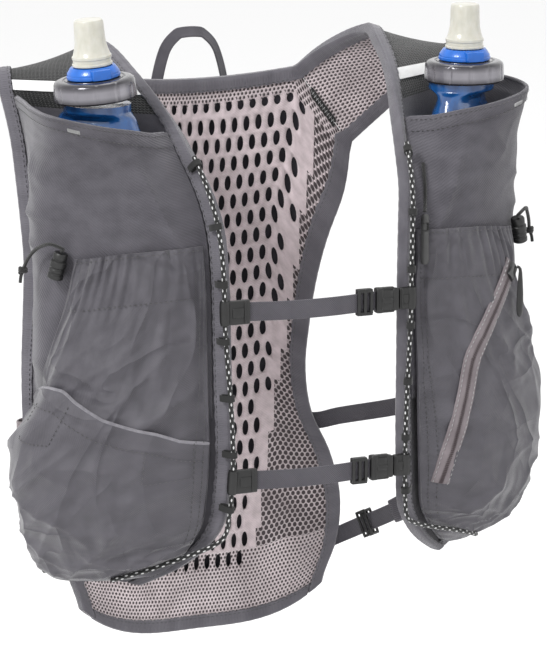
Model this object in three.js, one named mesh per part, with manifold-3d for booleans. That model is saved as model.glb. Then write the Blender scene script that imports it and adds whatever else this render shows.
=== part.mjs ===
// Running hydration vest, shown worn, with two soft flasks. Millimetres, +Z up.
// The origin lies midway between the shoulder straps; the wearer faces -Y and has the left hand at +X.
import * as THREE from 'three';
import { mergeVertices } from 'three/addons/utils/BufferGeometryUtils.js';
import Module from 'manifold-3d';

const wasm = await Module();
wasm.setup();

// Body of the vest
const CHEST_HALF_WIDTH = 168; // middle to the side edge of a front panel
const CHEST_DEPTH = 136; // shoulder line to the front edge
const FRONT_LENGTH = 350; // shoulder height to the bottom of a front panel
const BACK_DEPTH = 90; // shoulder line to the back
const BACK_LENGTH = 410; // nape to hem
const BACK_HALF_WIDTH = 106; // middle to the outer end of the shoulder seam
const NECK_HALF_WIDTH = 69; // middle to the inner end of the shoulder seam
const NAPE_DROP = 38; // shoulder height down to the nape
const SEAM_DROP = 85; // shoulder height down to the outer end of the seam

// Cloth layers
const LINER = 2.2; // spacer mesh against the body
const CLOTH = 1.5; // woven outer cloth
const TAPE = 0.7; // binding, seam and band tapes
const GAP = 0.4; // clearance between touching pieces
const LIP = 0.7; // clearance under the lips of a binding
const BINDING_WIDTH = 9;
const CORNER_ROOM = 0.7; // extra clearance of the binding at a turned corner
const VENT_PITCH = 16.5; // across, from one column of vents to the next
const VENT_ROWS = 13;
const VENT_WIDTH = 5.2;
const VENT_HEIGHT = 15;
const BACK_FULLNESS = 7; // how far the outer cloth of the back stands off the mesh

// Flasks and their pockets
const FLASK_WIDTH = 90;
const FLASK_THICKNESS = 42;
const FLASK_HEIGHT = 160; // underside of the cap to the foot
const FLASK_TURN = 9; // degrees out of the plane of the front panel
const FLASK_SHIFT = 2; // cap off the middle of the flask
const CAP_RADIUS = 27;
const CAP_HEIGHT = 14;
const CAP_TOP = -7; // height of the cap's top
const CAP_LEAN = 5; // degrees that the right flask's cap leans outwards
const COLLAR_RADIUS = 17.5;
const COLLAR_HEIGHT = 7.5;
const VALVE_RADIUS = 13;
const VALVE_HEIGHT = 30;
const POCKET_EASE = 9; // room round a flask in its pocket
const LOWER_DEPTH = 62; // stuffed depth of a lower pocket
const ZIP_WIDTH = 11;

// Straps, cords and hardware
const WEBBING = 12.7;
const WEB_THICKNESS = 1.4;
const UPPER_STRAP = -153; // heights of the two chest straps
const LOWER_STRAP = -266;
const RAIL_CORD = 1.6; // cord radii
const THIN_CORD = 1.2;
const HOOK_LENGTH = 17; // from the rail cord, on the side of the web's fixed end
const CLIP_LENGTH = 9; // from the rail cord to the buckle
const GLIDE_LENGTH = 11;
const BUCKLE_LENGTH = 17;
const BUCKLE_HEIGHT = 17;
const LOOP_HEIGHT = 33;
const LOOP_HALF_WIDTH = 26;
const LOOP_DEPTH = 8;
const WHISTLE_LENGTH = 33;
const RAIL_STANDOFF = 4.4; // rail cord outside the edge
const TABS_BETWEEN = 3; // tabs that hold the rail cord, between the two chest straps
const LOCK_RADIUS = 5.5;
const LOCK_LENGTH = 18;

const SHEET = LINER + GAP + CLOTH; // both layers of the vest
const v3 = (x, y, z) => new THREE.Vector3(x, y, z);
const mix = THREE.MathUtils.lerp;

// Table rows as objects with named columns.
function table(columns, rows) {
  const names = columns.split(' ');
  return rows.map((row) => Object.fromEntries(names.map((name, i) => [name, row[i]])));
}

// Smooth value of one column at a fractional row number.
function along(rows, column, at) {
  const i = Math.min(Math.max(Math.floor(at), 0), rows.length - 2);
  const f = at - i;
  const [a, b, c, d] = [i - 1, i, i + 1, i + 2].map(
    (k) => rows[Math.min(Math.max(k, 0), rows.length - 1)][column],
  );
  return b + 0.5 * f * (c - a + f * (2 * a - 5 * b + 4 * c - d + f * (3 * (b - c) + d - a)));
}

// Straight-line value of a column against the table's first column.
function reading(rows, key, column, at) {
  const above = rows.findIndex((row) => row[key] >= at);
  const i = above < 0 ? rows.length - 1 : Math.max(above, 1);
  const [a, b] = [rows[i - 1], rows[i]];
  return mix(a[column], b[column], (at - a[key]) / (b[key] - a[key]));
}

// Front panel rows from the bottom to the crest of the shoulder: the inner and outer edge as shares
// of the half width, the chest depth and the front length, and the camber as a share of the depth.
const PANEL_ROWS = table('inX inY inZ outX outY outZ camber', [
  [0.629, -0.69, -0.985, 0.875, -0.267, -1.015, 0.03],
  [0.512, -0.843, -0.942, 0.885, -0.146, -0.994, 0.052],
  [0.432, -0.925, -0.9, 0.902, -0.088, -0.954, 0.074],
  [0.375, -0.98, -0.849, 0.912, -0.069, -0.897, 0.08],
  [0.357, -1.01, -0.771, 0.925, -0.054, -0.823, 0.074],
  [0.351, -1.02, -0.686, 0.94, -0.064, -0.714, 0.05],
  [0.354, -1.015, -0.586, 0.943, -0.059, -0.606, 0.01],
  [0.357, -1.01, -0.486, 0.94, -0.064, -0.5, -0.055],
  [0.36, -1.004, -0.386, 0.935, -0.074, -0.394, -0.06],
  [0.369, -0.985, -0.3, 0.943, -0.059, -0.309, -0.06],
  [0.39, -0.926, -0.234, 0.955, -0.044, -0.234, -0.06],
  [0.42, -0.787, -0.171, 0.97, -0.029, -0.16, -0.05],
  [0.452, -0.632, -0.114, 0.994, -0.022, -0.1, -0.03],
  [0.494, -0.456, -0.069, 1.018, -0.022, -0.057, -0.01],
  [0.53, -0.279, -0.034, 1.024, 0.015, -0.041, 0],
  [0.554, -0.088, -0.004, 1.006, 0.074, -0.044, 0],
  [0.577, 0.044, 0.008, 0.97, 0.14, -0.06, 0],
]);
// Strap rows behind the crest, as shares of the way from the crest to the shoulder seam.
const STRAP_ROWS = table('inX inY inZ outX outY outZ camber', [
  [-0.04, 0.215, 0.05, 0.16, 0.22, 0.15, 0],
  [0.14, 0.43, 0.19, 0.37, 0.44, 0.36, 0.007],
  [0.43, 0.63, 0.41, 0.58, 0.66, 0.59, 0.01],
  [0.71, 0.83, 0.68, 0.79, 0.85, 0.8, 0.007],
  [1, 1, 1, 1, 1, 1, 0],
]);
// Back panel rows from the seam to the hem: half width and depths as shares of the back's sizes.
const BACK_ROWS = table('half middle edge', [
  [1, 1, 0.667],
  [0.96, 1.03, 0.7],
  [0.86, 1.05, 0.74],
  [0.79, 1.06, 0.78],
  [0.745, 1.06, 0.8],
  [0.725, 1.05, 0.82],
  [0.775, 1.03, 0.83],
  [0.915, 1.02, 0.82],
  [0.99, 1.03, 0.82],
  [0.975, 1.04, 0.84],
  [0.877, 1.05, 0.87],
]);
// Cross-section of a stuffed pocket: height as a share of the bulge, across from inner to outer edge.
const DOME = table('across height', [
  [0, 0],
  [0.08, 0.33],
  [0.2, 0.64],
  [0.35, 0.86],
  [0.5, 0.97],
  [0.63, 1],
  [0.74, 0.93],
  [0.84, 0.69],
  [0.92, 0.34],
  [1, 0],
]);
// Bulge of a flask pocket, as a share of its depth, and how far its mouth leans towards the middle.
const FLASK_BULGE = table('row bulge lean', [
  [5.4, 0, 0],
  [5.8, 0.6, 0],
  [6.4, 0.95, 0],
  [8, 1, 0],
  [9, 1, 0],
  [10, 1.03, 0.12],
  [11, 1.12, 0.42],
  [12, 1.25, 0.75],
  [13, 1.3, 0.85],
]);
// Bulge of a lower pocket, as a share of its stuffed depth.
const LOWER_BULGE = table('row bulge', [
  [0, 0.03],
  [0.5, 0.14],
  [1, 0.28],
  [2, 0.54],
  [3, 0.74],
  [4, 0.89],
  [5, 0.97],
  [6, 1.01],
  [7, 1],
  [8, 0.935],
  [9, 0.86],
]);
// Outer border of a lower pocket, as a share of the panel's width.
const LOWER_BORDER = table('row across', [
  [0, 1],
  [4, 1],
  [5, 0.93],
  [6, 0.74],
  [7, 0.62],
  [8, 0.53],
  [9, 0.48],
]);
// Top edges of the pockets: the panel row that each edge reaches.
const FLASK_RIM = table('across row', [
  [0, 11.7],
  [0.2, 12.05],
  [0.5, 12.45],
  [0.75, 12.75],
  [0.9, 12.8],
  [1, 12.7],
]);
const LOWER_HEM = table('across row', [
  [0, 8.8],
  [0.5, 8.75],
  [1, 8.6],
]);
const STASH_RIM = table('across row', [
  [0, 5],
  [0.18, 5.35],
  [0.41, 5.65],
  [0.56, 5.9],
  [0.74, 6.15],
  [1, 6],
]);
// The zip's route over the left lower pocket, across in shares of the pocket.
const ZIP_ROUTE = table('row across', [
  [7.85, 0.75],
  [7.1, 0.46],
  [6.3, 0.25],
  [5.4, 0.145],
  [4.5, 0.09],
  [3.6, 0.06],
]);

const scaled = (row, part) =>
  v3(row[`${part}X`] * CHEST_HALF_WIDTH, row[`${part}Y`] * CHEST_DEPTH, row[`${part}Z`] * FRONT_LENGTH);
const crest = PANEL_ROWS.at(-1);
const seam = {
  in: v3(NECK_HALF_WIDTH, 0.79 * BACK_DEPTH, -0.79 * NAPE_DROP),
  out: v3(BACK_HALF_WIDTH, 0.667 * BACK_DEPTH, -SEAM_DROP),
};

function frontRow(row, panel) {
  const flat = { camber: row.camber * CHEST_DEPTH };
  for (const part of ['in', 'out']) {
    const point = panel
      ? scaled(row, part)
      : v3(
          ...['x', 'y', 'z'].map((axis) =>
            mix(scaled(crest, part)[axis], seam[part][axis], row[part + axis.toUpperCase()]),
          ),
        );
    Object.assign(flat, { [`${part}X`]: point.x, [`${part}Y`]: point.y, [`${part}Z`]: point.z });
  }
  return flat;
}
const frontRows = [
  ...PANEL_ROWS.map((row) => frontRow(row, true)),
  ...STRAP_ROWS.map((row) => frontRow(row, false)),
];
const SEAM_ROW = frontRows.length - 1;
const MESH_ROW = 12; // the black shoulder mesh starts here

const edgePoint = (part, s) => v3(...['X', 'Y', 'Z'].map((axis) => along(frontRows, part + axis, s)));
const rowWidth = (s) => edgePoint('in', s).distanceTo(edgePoint('out', s));

// Face of the front panel and strap against the body: s runs up the rows, t from inner to outer edge.
function frontFace(s, t) {
  const inner = edgePoint('in', s);
  const outer = edgePoint('out', s);
  const step = 0.01;
  const up = edgePoint('in', s + step)
    .add(edgePoint('out', s + step))
    .sub(edgePoint('in', s - step))
    .sub(edgePoint('out', s - step));
  const out = outer.clone().sub(inner).cross(up).normalize();
  const rise = along(frontRows, 'camber', s) * 4 * t * (1 - t);
  return inner.lerp(outer, t).addScaledVector(out, rise);
}

// Places a point h above a face, by the face's own normal.
function above(face, step = 0.004) {
  return (u, v, h) => {
    const du = face(u + step, v).sub(face(u - step, v));
    const dv = face(u, v + step).sub(face(u, v - step));
    return face(u, v).addScaledVector(dv.cross(du).normalize(), h);
  };
}
const onFront = above(frontFace);

// Back: v runs from -1 to 1 across, s from the neck and seams to the hem.
const NECK_SHARE = NECK_HALF_WIDTH / BACK_HALF_WIDTH;
const EDGE_HEM = NAPE_DROP + 0.93 * BACK_LENGTH; // hem height at its corners
function backTop(v) {
  const a = Math.abs(v);
  if (a > NECK_SHARE) return seam.in.clone().lerp(seam.out, (a - NECK_SHARE) / (1 - NECK_SHARE));
  const rise = (a / NECK_SHARE) ** 2;
  return v3(0, mix(BACK_DEPTH, seam.in.y, rise), mix(-NAPE_DROP, seam.in.z, rise));
}
function backFace(s, v) {
  const a = Math.abs(v);
  const at = s * (BACK_ROWS.length - 1);
  const half = along(BACK_ROWS, 'half', at) * BACK_HALF_WIDTH;
  const middle = along(BACK_ROWS, 'middle', at) * BACK_DEPTH;
  const edge = along(BACK_ROWS, 'edge', at) * BACK_DEPTH;
  const top = backTop(v);
  const blend = THREE.MathUtils.smoothstep(s, 0, 0.25);
  const y = mix(top.y, mix(middle, edge, a ** 1.8), blend);
  const hem = mix(-NAPE_DROP - BACK_LENGTH, -EDGE_HEM, a ** 3.2);
  return v3(v * half, y, mix(top.z, hem, s));
}
const onBack = above(backFace);
const backWidth = (s) => along(BACK_ROWS, 'half', s * (BACK_ROWS.length - 1)) * BACK_HALF_WIDTH;
const backHeight = (v) => backFace(0, v).distanceTo(backFace(1, v));

// Closed solid from points and faces, turned to face out.
function solid(points, faces) {
  const geometry = new THREE.BufferGeometry();
  let volume = 0;
  for (let i = 0; i < faces.length; i += 3) {
    const [a, b, c] = [0, 1, 2].map((k) => points[faces[i + k]]);
    volume += a.dot(b.clone().cross(c));
  }
  if (volume < 0) faces.reverse();
  geometry.setAttribute('position', new THREE.Float32BufferAttribute(points.flatMap((p) => [...p]), 3));
  geometry.setIndex(faces);
  geometry.computeVertexNormals();
  return geometry;
}

// Four corners as two triangles, split along the shorter diagonal.
function quad(points, [a, b, c, d]) {
  const split = points[a].distanceTo(points[c]) <= points[b].distanceTo(points[d]);
  return split ? [a, b, c, a, c, d] : [a, b, d, b, c, d];
}

const value = (number, at) => (typeof number === 'function' ? number(at) : number);

// Slab between two heights over a grid; a grid line may be a function of the other coordinate.
function slab(place, us, vs, low, high) {
  const points = [];
  for (const h of [low, high])
    for (const u of us)
      for (const v of vs) points.push(place(value(u, v), value(v, u), h));
  const count = vs.length;
  const layer = us.length * count;
  const faces = [];
  for (let i = 0; i + 1 < us.length; i++)
    for (let j = 0; j + 1 < count; j++) {
      const a = i * count + j;
      const cell = [a, a + 1, a + count + 1, a + count];
      faces.push(...quad(points, cell), ...quad(points, cell.map((k) => k + layer)).reverse());
    }
  const rim = [];
  for (let j = 0; j + 1 < count; j++) rim.push(j);
  for (let i = 0; i + 1 < us.length; i++) rim.push(i * count + count - 1);
  for (let j = count - 1; j > 0; j--) rim.push((us.length - 1) * count + j);
  for (let i = us.length - 1; i > 0; i--) rim.push(i * count);
  rim.forEach((a, k) => {
    const b = rim[(k + 1) % rim.length];
    faces.push(...quad(points, [b, a, layer + a, layer + b]));
  });
  return solid(points, faces);
}

// Slab in rows of cells between lines of constant u. A line holds its stations, each a function from u
// to v; a cell names its corner stations on both lines, and may hold an opening as a ring of points.
function cellSlab(place, lines, cells, low, high) {
  const flat = [];
  const index = new Map();
  const spot = (line, station) => {
    const key = `${line} ${station}`;
    if (!index.has(key)) {
      const { u, stations } = lines[line];
      index.set(key, flat.push([u, stations[station](u)]) - 1);
    }
    return index.get(key);
  };
  const triangles = [];
  const rims = [];
  for (const { line, top, bottom, opening = [] } of cells) {
    const ring = [...top.map((k) => spot(line, k)), ...bottom.map((k) => spot(line + 1, k)).reverse()];
    const hole = opening.map((point) => flat.push(point) - 1);
    const at = (k) => new THREE.Vector2(flat[k][1] * BACK_HALF_WIDTH, flat[k][0] * BACK_LENGTH);
    const all = [...ring, ...hole];
    for (const face of THREE.ShapeUtils.triangulateShape(ring.map(at), hole.length ? [hole.map(at)] : []))
      triangles.push(face.map((k) => all[k]));
    rims.push(hole);
  }
  const points = [low, high].flatMap((h) => flat.map(([u, v]) => place(u, v, h)));
  const layer = flat.length;
  const faces = [];
  const open = new Map();
  for (const [a, b, c] of triangles) {
    faces.push(a, b, c, layer + a, layer + c, layer + b);
    for (const [from, to] of [
      [a, b],
      [b, c],
      [c, a],
    ])
      if (!open.delete(`${to} ${from}`)) open.set(`${from} ${to}`, [from, to]);
  }
  for (const [a, b] of open.values()) faces.push(...quad(points, [b, a, layer + a, layer + b]));
  return solid(points, faces);
}

// Solid through rings of points; the ends are closed by triangles of the flat section.
function loft(rings, section) {
  const count = rings[0].length;
  const points = rings.flat();
  const ends = THREE.ShapeUtils.triangulateShape(section.map(([x, y]) => new THREE.Vector2(x, y)), []);
  const turn = THREE.ShapeUtils.area(section.map(([x, y]) => new THREE.Vector2(x, y))) < 0;
  const faces = ends.flatMap(([a, b, c]) => (turn ? [a, c, b] : [a, b, c]));
  for (let i = 0; i + 1 < rings.length; i++)
    for (let j = 0; j < count; j++) {
      const [a, b] = [i * count + j, i * count + ((j + 1) % count)];
      faces.push(...quad(points, turn ? [a, b, b + count, a + count] : [b, a, a + count, b + count]));
    }
  const last = (rings.length - 1) * count;
  for (const [a, b, c] of ends) faces.push(...(turn ? [b, c, a] : [c, b, a]).map((k) => last + k));
  return solid(points, faces);
}

// Folded tape over an edge: distance in from the edge and height over the body side.
const FOLD = [
  [-TAPE, -LIP - TAPE],
  [BINDING_WIDTH, -LIP - TAPE],
  [BINDING_WIDTH, -LIP],
  [0, -LIP],
  [0, SHEET + LIP],
  [BINDING_WIDTH, SHEET + LIP],
  [BINDING_WIDTH, SHEET + LIP + TAPE],
  [-TAPE, SHEET + LIP + TAPE],
];
const FACE_TOP = SHEET + LIP + TAPE;

const steps = (from, to, count) => Array.from({ length: count + 1 }, (_, i) => mix(from, to, i / count));
const SIDES = [
  [1, 'left'],
  [-1, 'right'],
];
const UP = v3(0, 0, 1);
const SQUARE = [
  [-0.5, -0.5],
  [0.5, -0.5],
  [0.5, 0.5],
  [-0.5, 0.5],
];
const smooth = (route) => new THREE.CatmullRomCurve3(route, false, 'centripetal');

// Point and axes on a ribbon's route: along it, across its width and through its thickness.
function frameOn(curve, f, wide) {
  const length = curve.getTangentAt(f);
  const thin = length.clone().cross(wide).normalize();
  return { point: curve.getPointAt(f), length, thin, flat: thin.clone().cross(length).normalize() };
}

// Flat ribbon along a smooth route, its width along a given direction.
function ribbon(route, width, thickness, wide, count) {
  const curve = smooth(route);
  const rings = steps(0, 1, count).map((f) => {
    const { point, thin, flat } = frameOn(curve, f, wide);
    return SQUARE.map(([a, b]) =>
      point
        .clone()
        .addScaledVector(flat, a * width)
        .addScaledVector(thin, b * thickness),
    );
  });
  return loft(rings, SQUARE);
}

// Round cord along a smooth route.
function cord(route, radius, count) {
  const sides = 8;
  const corner = (k) => (2 * Math.PI * k) / sides;
  const shape = new THREE.Shape(
    steps(0, sides - 1, sides - 1).map(
      (k) => new THREE.Vector2(radius * Math.cos(corner(k)), radius * Math.sin(corner(k))),
    ),
  );
  return new THREE.ExtrudeGeometry(shape, { steps: count, extrudePath: smooth(route), bevelEnabled: false });
}

// Turned piece about the Z axis from radius and height pairs.
const turned = (profile, sides) =>
  new THREE.LatheGeometry(profile.map(([r, z]) => new THREE.Vector2(r, z)), sides).rotateX(Math.PI / 2);

function manifold(geometry) {
  const bare = geometry.clone();
  bare.deleteAttribute('normal');
  bare.deleteAttribute('uv');
  const merged = mergeVertices(bare, 1e-4);
  return new wasm.Manifold(
    new wasm.Mesh({
      numProp: 3,
      vertProperties: merged.attributes.position.array,
      triVerts: new Uint32Array(merged.index.array),
    }),
  );
}

function geometryOf(shape) {
  const mesh = shape.getMesh();
  const geometry = new THREE.BufferGeometry();
  geometry.setAttribute('position', new THREE.Float32BufferAttribute(mesh.vertProperties, 3));
  geometry.setIndex([...mesh.triVerts]);
  geometry.computeVertexNormals();
  return geometry;
}

const joined = (first, ...rest) =>
  geometryOf(rest.reduce((shape, geometry) => shape.add(manifold(geometry)), manifold(first)));
const cut = (first, ...rest) =>
  geometryOf(rest.reduce((shape, geometry) => shape.subtract(manifold(geometry)), manifold(first)));
const box = (x, y, z, at = [0, 0, 0]) => new THREE.BoxGeometry(x, y, z).translate(...at);

// Moves a geometry whose axes are X, Y and Z onto a point and three given axes.
const placed = (geometry, point, x, y, z) =>
  geometry.applyMatrix4(new THREE.Matrix4().makeBasis(x, y, z).setPosition(point));

const vest = new THREE.Group();
const finishes = {
  liner: { color: 0x8f8283, roughness: 0.95 },
  cloth: { color: 0x6c6d73, roughness: 0.85 },
  pocket: { color: 0x62636a, roughness: 0.8 },
  binding: { color: 0x74757b, roughness: 0.85 },
  dark: { color: 0x1a1a1c, roughness: 0.9 },
  reflective: { color: 0xc9ccd0, roughness: 0.35 },
  webbing: { color: 0x77767b, roughness: 0.8 },
  zip: { color: 0x9a8487, roughness: 0.85 },
  cord: { color: 0x17181a, roughness: 0.7 },
  plastic: { color: 0x121314, roughness: 0.45 },
  cap: { color: 0x55575c, roughness: 0.4 },
  blue: { color: 0x1d4f96, roughness: 0.35 },
  valve: { color: 0xe9e3d6, roughness: 0.3 },
};

// Adds a piece; side -1 mirrors it to the wearer's right.
function add(name, finish, geometry, side = 1, parent = vest) {
  const material = new THREE.MeshStandardMaterial({ metalness: 0, ...finishes[finish] });
  material.name = finish;
  const mesh = new THREE.Mesh(geometry, material);
  mesh.name = name;
  if (side < 0) mesh.scale.x = -1;
  parent.add(mesh);
}

// Lines across the back that every layer and binding shares
const inShare = (w) => w / BACK_LENGTH;
const backLines = [
  inShare(GAP),
  inShare(BINDING_WIDTH),
  ...steps(0.055, 0.935, VENT_ROWS),
  1 - inShare(BINDING_WIDTH),
  1 - inShare(GAP),
];
const NECK_STATIONS = [-0.33, 0, 0.33];

// Back panel: pierced mesh towards the body and plain cloth behind it
function backPanel() {
  const edge = (w, sign) => (s) => sign * (1 - w / backWidth(s));
  const ends = { edgeLow: edge(GAP, -1), lipLow: edge(BINDING_WIDTH, -1) };
  const far = { lipHigh: edge(BINDING_WIDTH, 1), edgeHigh: edge(GAP, 1) };
  const neckShares = [-NECK_SHARE, ...NECK_STATIONS, NECK_SHARE];
  const atNeck = Object.fromEntries(neckShares.map((share, k) => [`share${k}`, () => share]));
  const bounds = backLines.map(() => ['edgeLow', 'lipLow', 'lipHigh', 'edgeHigh']);
  const lines = backLines.map((u) => ({ u, stations: { ...ends, ...far, ...atNeck } }));

  // The field of vents narrows towards the hem; its rows are staggered by half a pitch
  const first = 2;
  const rows = [];
  for (let row = 0; row < VENT_ROWS; row++) {
    const s = (backLines[first + row] + backLines[first + row + 1]) / 2;
    const field = mix(0.8, 0.34, s) * BACK_HALF_WIDTH;
    const shift = (row % 2) / 2;
    const reach = Math.floor(field / VENT_PITCH - shift);
    const edges = steps(-reach - shift, reach + shift, 2 * (reach + shift));
    rows.push(edges.map((k) => Math.round(2 * k)));
    for (const k of rows.at(-1))
      for (const line of [first + row, first + row + 1])
        lines[line].stations[`cell${k}`] = (u) => (k * VENT_PITCH) / 2 / backWidth(u);
  }
  const cells = [];
  for (let line = 0; line + 1 < lines.length; line++) {
    const vents = rows[line - first] ?? [];
    const plain = line === 0 || line + 2 === lines.length;
    const shares = plain ? Object.keys(atNeck) : [];
    const marks = ['edgeLow', 'lipLow', ...shares, ...vents.map((k) => `cell${k}`), 'lipHigh', 'edgeHigh'];
    const order = (at) => (a, b) => lines[at].stations[a](lines[at].u) - lines[at].stations[b](lines[at].u);
    const known = (at) => {
      const near = [rows[at - first] ?? [], rows[at - 1 - first] ?? []].flat().map((k) => `cell${k}`);
      const plainNear = at < 2 || at + 3 > lines.length;
      const names = [...bounds[at], ...near, ...(plainNear ? Object.keys(atNeck) : [])];
      return [...new Set(names)].sort(order(at));
    };
    for (let m = 0; m + 1 < marks.length; m++) {
      const span = (at) => {
        const all = known(at);
        return all.slice(all.indexOf(marks[m]), all.indexOf(marks[m + 1]) + 1);
      };
      const cell = { line, top: span(line), bottom: span(line + 1) };
      if (marks[m].startsWith('cell') && marks[m + 1].startsWith('cell')) {
        const s = (lines[line].u + lines[line + 1].u) / 2;
        const v = ((vents[vents.indexOf(+marks[m].slice(4))] + 1) * VENT_PITCH) / 2 / backWidth(s);
        const tall = VENT_HEIGHT / 2 / BACK_LENGTH;
        const wide = VENT_WIDTH / 2 / backWidth(s);
        cell.opening = [
          [s - tall, v],
          [s, v + wide],
          [s + tall, v],
          [s, v - wide],
        ];
      }
      cells.push(cell);
    }
  }
  add('back_liner', 'liner', cellSlab(onBack, lines, cells, 0, LINER));

  const across = [ends.edgeLow, ends.lipLow, ...neckShares, far.lipHigh, far.edgeHigh];
  const full = (s, v, h) => {
    const fromEnds = THREE.MathUtils.smoothstep(Math.min(s, 1 - s), 0.02, 0.15);
    const inside = Math.max(1 - Math.abs(v) * 1.15, 0) * fromEnds;
    return onBack(s, v, h + BACK_FULLNESS * Math.min(2 * inside, 1));
  };
  const base = LINER + GAP;
  add('back_shell', 'cloth', slab(full, backLines, across, base, base + CLOTH));
}

// Rows up the front that every layer and binding shares; the end rows lie about 20 mm apart
const edgeRow = (w) => w / 20;
const frontLines = [
  edgeRow(GAP),
  edgeRow(BINDING_WIDTH),
  ...steps(1, 11, 10),
  ...steps(11.5, 14, 5),
  ...steps(15, SEAM_ROW - 1, SEAM_ROW - 16),
  SEAM_ROW - edgeRow(GAP),
];
const inner = (w) => (s) => w / rowWidth(s);
const outer = (w) => (s) => 1 - w / rowWidth(s);

// Front panel, shoulder strap and their seam, for one side
function frontPanel(side, name) {
  const across = [inner(GAP), inner(BINDING_WIDTH), 0.5, outer(BINDING_WIDTH), outer(GAP)];
  const panel = frontLines.filter((s) => s <= MESH_ROW);
  const mesh = [MESH_ROW + edgeRow(GAP), ...frontLines.filter((s) => s > MESH_ROW)];
  const base = LINER + GAP;
  add(`${name}_front_liner`, 'liner', slab(onFront, frontLines, across, 0, LINER), side);
  add(`${name}_front_panel`, 'cloth', slab(onFront, panel, across, base, SHEET), side);
  add(`${name}_shoulder_mesh`, 'dark', slab(onFront, mesh, across, base, SHEET), side);
  const band = [inner(BINDING_WIDTH + 1), 0.5, outer(BINDING_WIDTH + 1)];
  const bandRows = [MESH_ROW + 0.95, MESH_ROW + 1.4];
  const bandLow = SHEET + 3 * GAP;
  add(`${name}_reflective_band`, 'reflective', slab(onFront, bandRows, band, bandLow, bandLow + TAPE), side);

  // Taped seam on the body side, over the strap's end and the back's top
  const reach = 4 / backHeight(1);
  const overSeam = (u, v, h) =>
    v < 0 ? onFront(SEAM_ROW + v * edgeRow(4), u, h) : onBack(v * reach, mix(NECK_SHARE, 1, u), h);
  const seamEnds = (BINDING_WIDTH + 8) / rowWidth(SEAM_ROW);
  const seamLine = steps(seamEnds, 1 - seamEnds, 2);
  add(`${name}_shoulder_seam`, 'dark', slab(overSeam, seamLine, [-1, 1], -3 * GAP - TAPE, -3 * GAP), side);
}

// Rail cord up each front edge, a little outside it and level with the binding's outer face
function railPoint(s) {
  const lift = RAIL_CORD + 1;
  const at = (row) => onFront(row, 0, FACE_TOP + lift);
  const along = at(s + 0.05).sub(at(s - 0.05)).normalize();
  const normal = onFront(s, 0, FACE_TOP + lift + 1).sub(at(s));
  return at(s).addScaledVector(along.cross(normal).normalize(), -RAIL_STANDOFF);
}
const railDirection = (s) => railPoint(s + 0.1).sub(railPoint(s - 0.1)).normalize();

// Panel row whose inner edge lies at a height
function rowAt(height) {
  let [low, high] = [0, PANEL_ROWS.length - 1];
  for (let i = 0; i < 30; i++) {
    const middle = (low + high) / 2;
    if (edgePoint('in', middle).z < height) low = middle;
    else high = middle;
  }
  return low;
}
const RAIL_FOOT = 2.9; // panel rows between which the cord runs along the edge
const RAIL_HEAD = 11;
const tabPitch = (UPPER_STRAP - LOWER_STRAP) / TABS_BETWEEN;
const tabRows = steps(-TABS_BETWEEN, TABS_BETWEEN, 2 * TABS_BETWEEN).map((k) =>
  rowAt(UPPER_STRAP + (k - 0.5) * tabPitch),
);

// Bindings round the front edges and neck, round each side and armhole, and along the hem
function bindings() {
  const frontRing = (s, far) =>
    FOLD.map(([w, h]) => onFront(s, far ? 1 - w / rowWidth(s) : w / rowWidth(s), h));
  const rows = [0, ...frontLines.slice(1, -1), SEAM_ROW];
  const up = rows.map((s) => frontRing(s, false));
  const topRing = (v) => FOLD.map(([w, h]) => onBack(w / backHeight(v), v, h));
  const neck = [...NECK_STATIONS].reverse().map((v) => topRing(v));
  // At a corner the ring lies halfway between the two edges' rings and stands a little off the cloth
  const corner = (one, other) =>
    one.map((point, k) => {
      const across = one[(k + 4) % 8].clone().sub(one[k]).normalize();
      return point.clone().lerp(other[k], 0.5).addScaledVector(across, -CORNER_ROOM);
    });
  up.push(corner(up.pop(), topRing(NECK_SHARE)));
  const mirror = (ring) => ring.map((point) => v3(-point.x, point.y, point.z));
  const tape = loft([...up, ...neck, ...up.map(mirror).reverse()], FOLD);

  // Square tabs that hold the rail cords
  const reach = RAIL_CORD + 1;
  const tabs = [];
  const bores = [];
  for (const s of tabRows) {
    const z = railDirection(s);
    const point = railPoint(s);
    const y = onFront(s, 0, FACE_TOP + 1).sub(onFront(s, 0, FACE_TOP)).normalize();
    const x = y.clone().cross(z).normalize();
    const block = box(2 * reach + RAIL_STANDOFF, 2 * reach + TAPE, 4, [-RAIL_STANDOFF / 2, -TAPE / 2, 0]);
    const hole = 2 * (RAIL_CORD + GAP);
    tabs.push(placed(block, point, x, y, z));
    bores.push(placed(box(hole, hole, 8), point, x, y, z));
  }
  const both = (list) => list.flatMap((piece) => [piece, piece.clone().scale(-1, 1, 1)]);
  const flipped = (list) =>
    both(list).map((piece, i) => {
      if (i % 2) piece.setIndex([...piece.index.array].reverse());
      return piece;
    });
  add('neck_binding', 'binding', cut(joined(tape, ...flipped(tabs)), ...flipped(bores)));

  const bottomRing = (t) => FOLD.map(([w, h]) => onFront(edgeRow(w), t, h));
  const backRing = (s) => FOLD.map(([w, h]) => onBack(s, 1 - w / backWidth(s), h));
  const bottom = [inner(BINDING_WIDTH + 2 * GAP)(0), 0.5, outer(BINDING_WIDTH)(0)].map(bottomRing);
  const sideRings = [
    ...bottom,
    corner(frontRing(0, true), bottomRing(1)),
    ...rows.slice(1, -1).map((s) => frontRing(s, true)),
    corner(frontRing(SEAM_ROW, true), backRing(0)),
    ...[...backLines.slice(1, -1), 1].map(backRing),
  ];
  for (const [side, name] of SIDES) add(`${name}_side_binding`, 'binding', loft(sideRings, FOLD), side);
  const hemEnd = 1 - (BINDING_WIDTH + 2 * GAP) / backWidth(1);
  const stations = [-hemEnd, -NECK_SHARE, ...NECK_STATIONS, NECK_SHARE, hemEnd];
  const hem = stations.map((v) => FOLD.map(([w, h]) => onBack(1 - inShare(w), v, h)));
  add('hem_binding', 'binding', loft(hem, FOLD));
}

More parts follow.
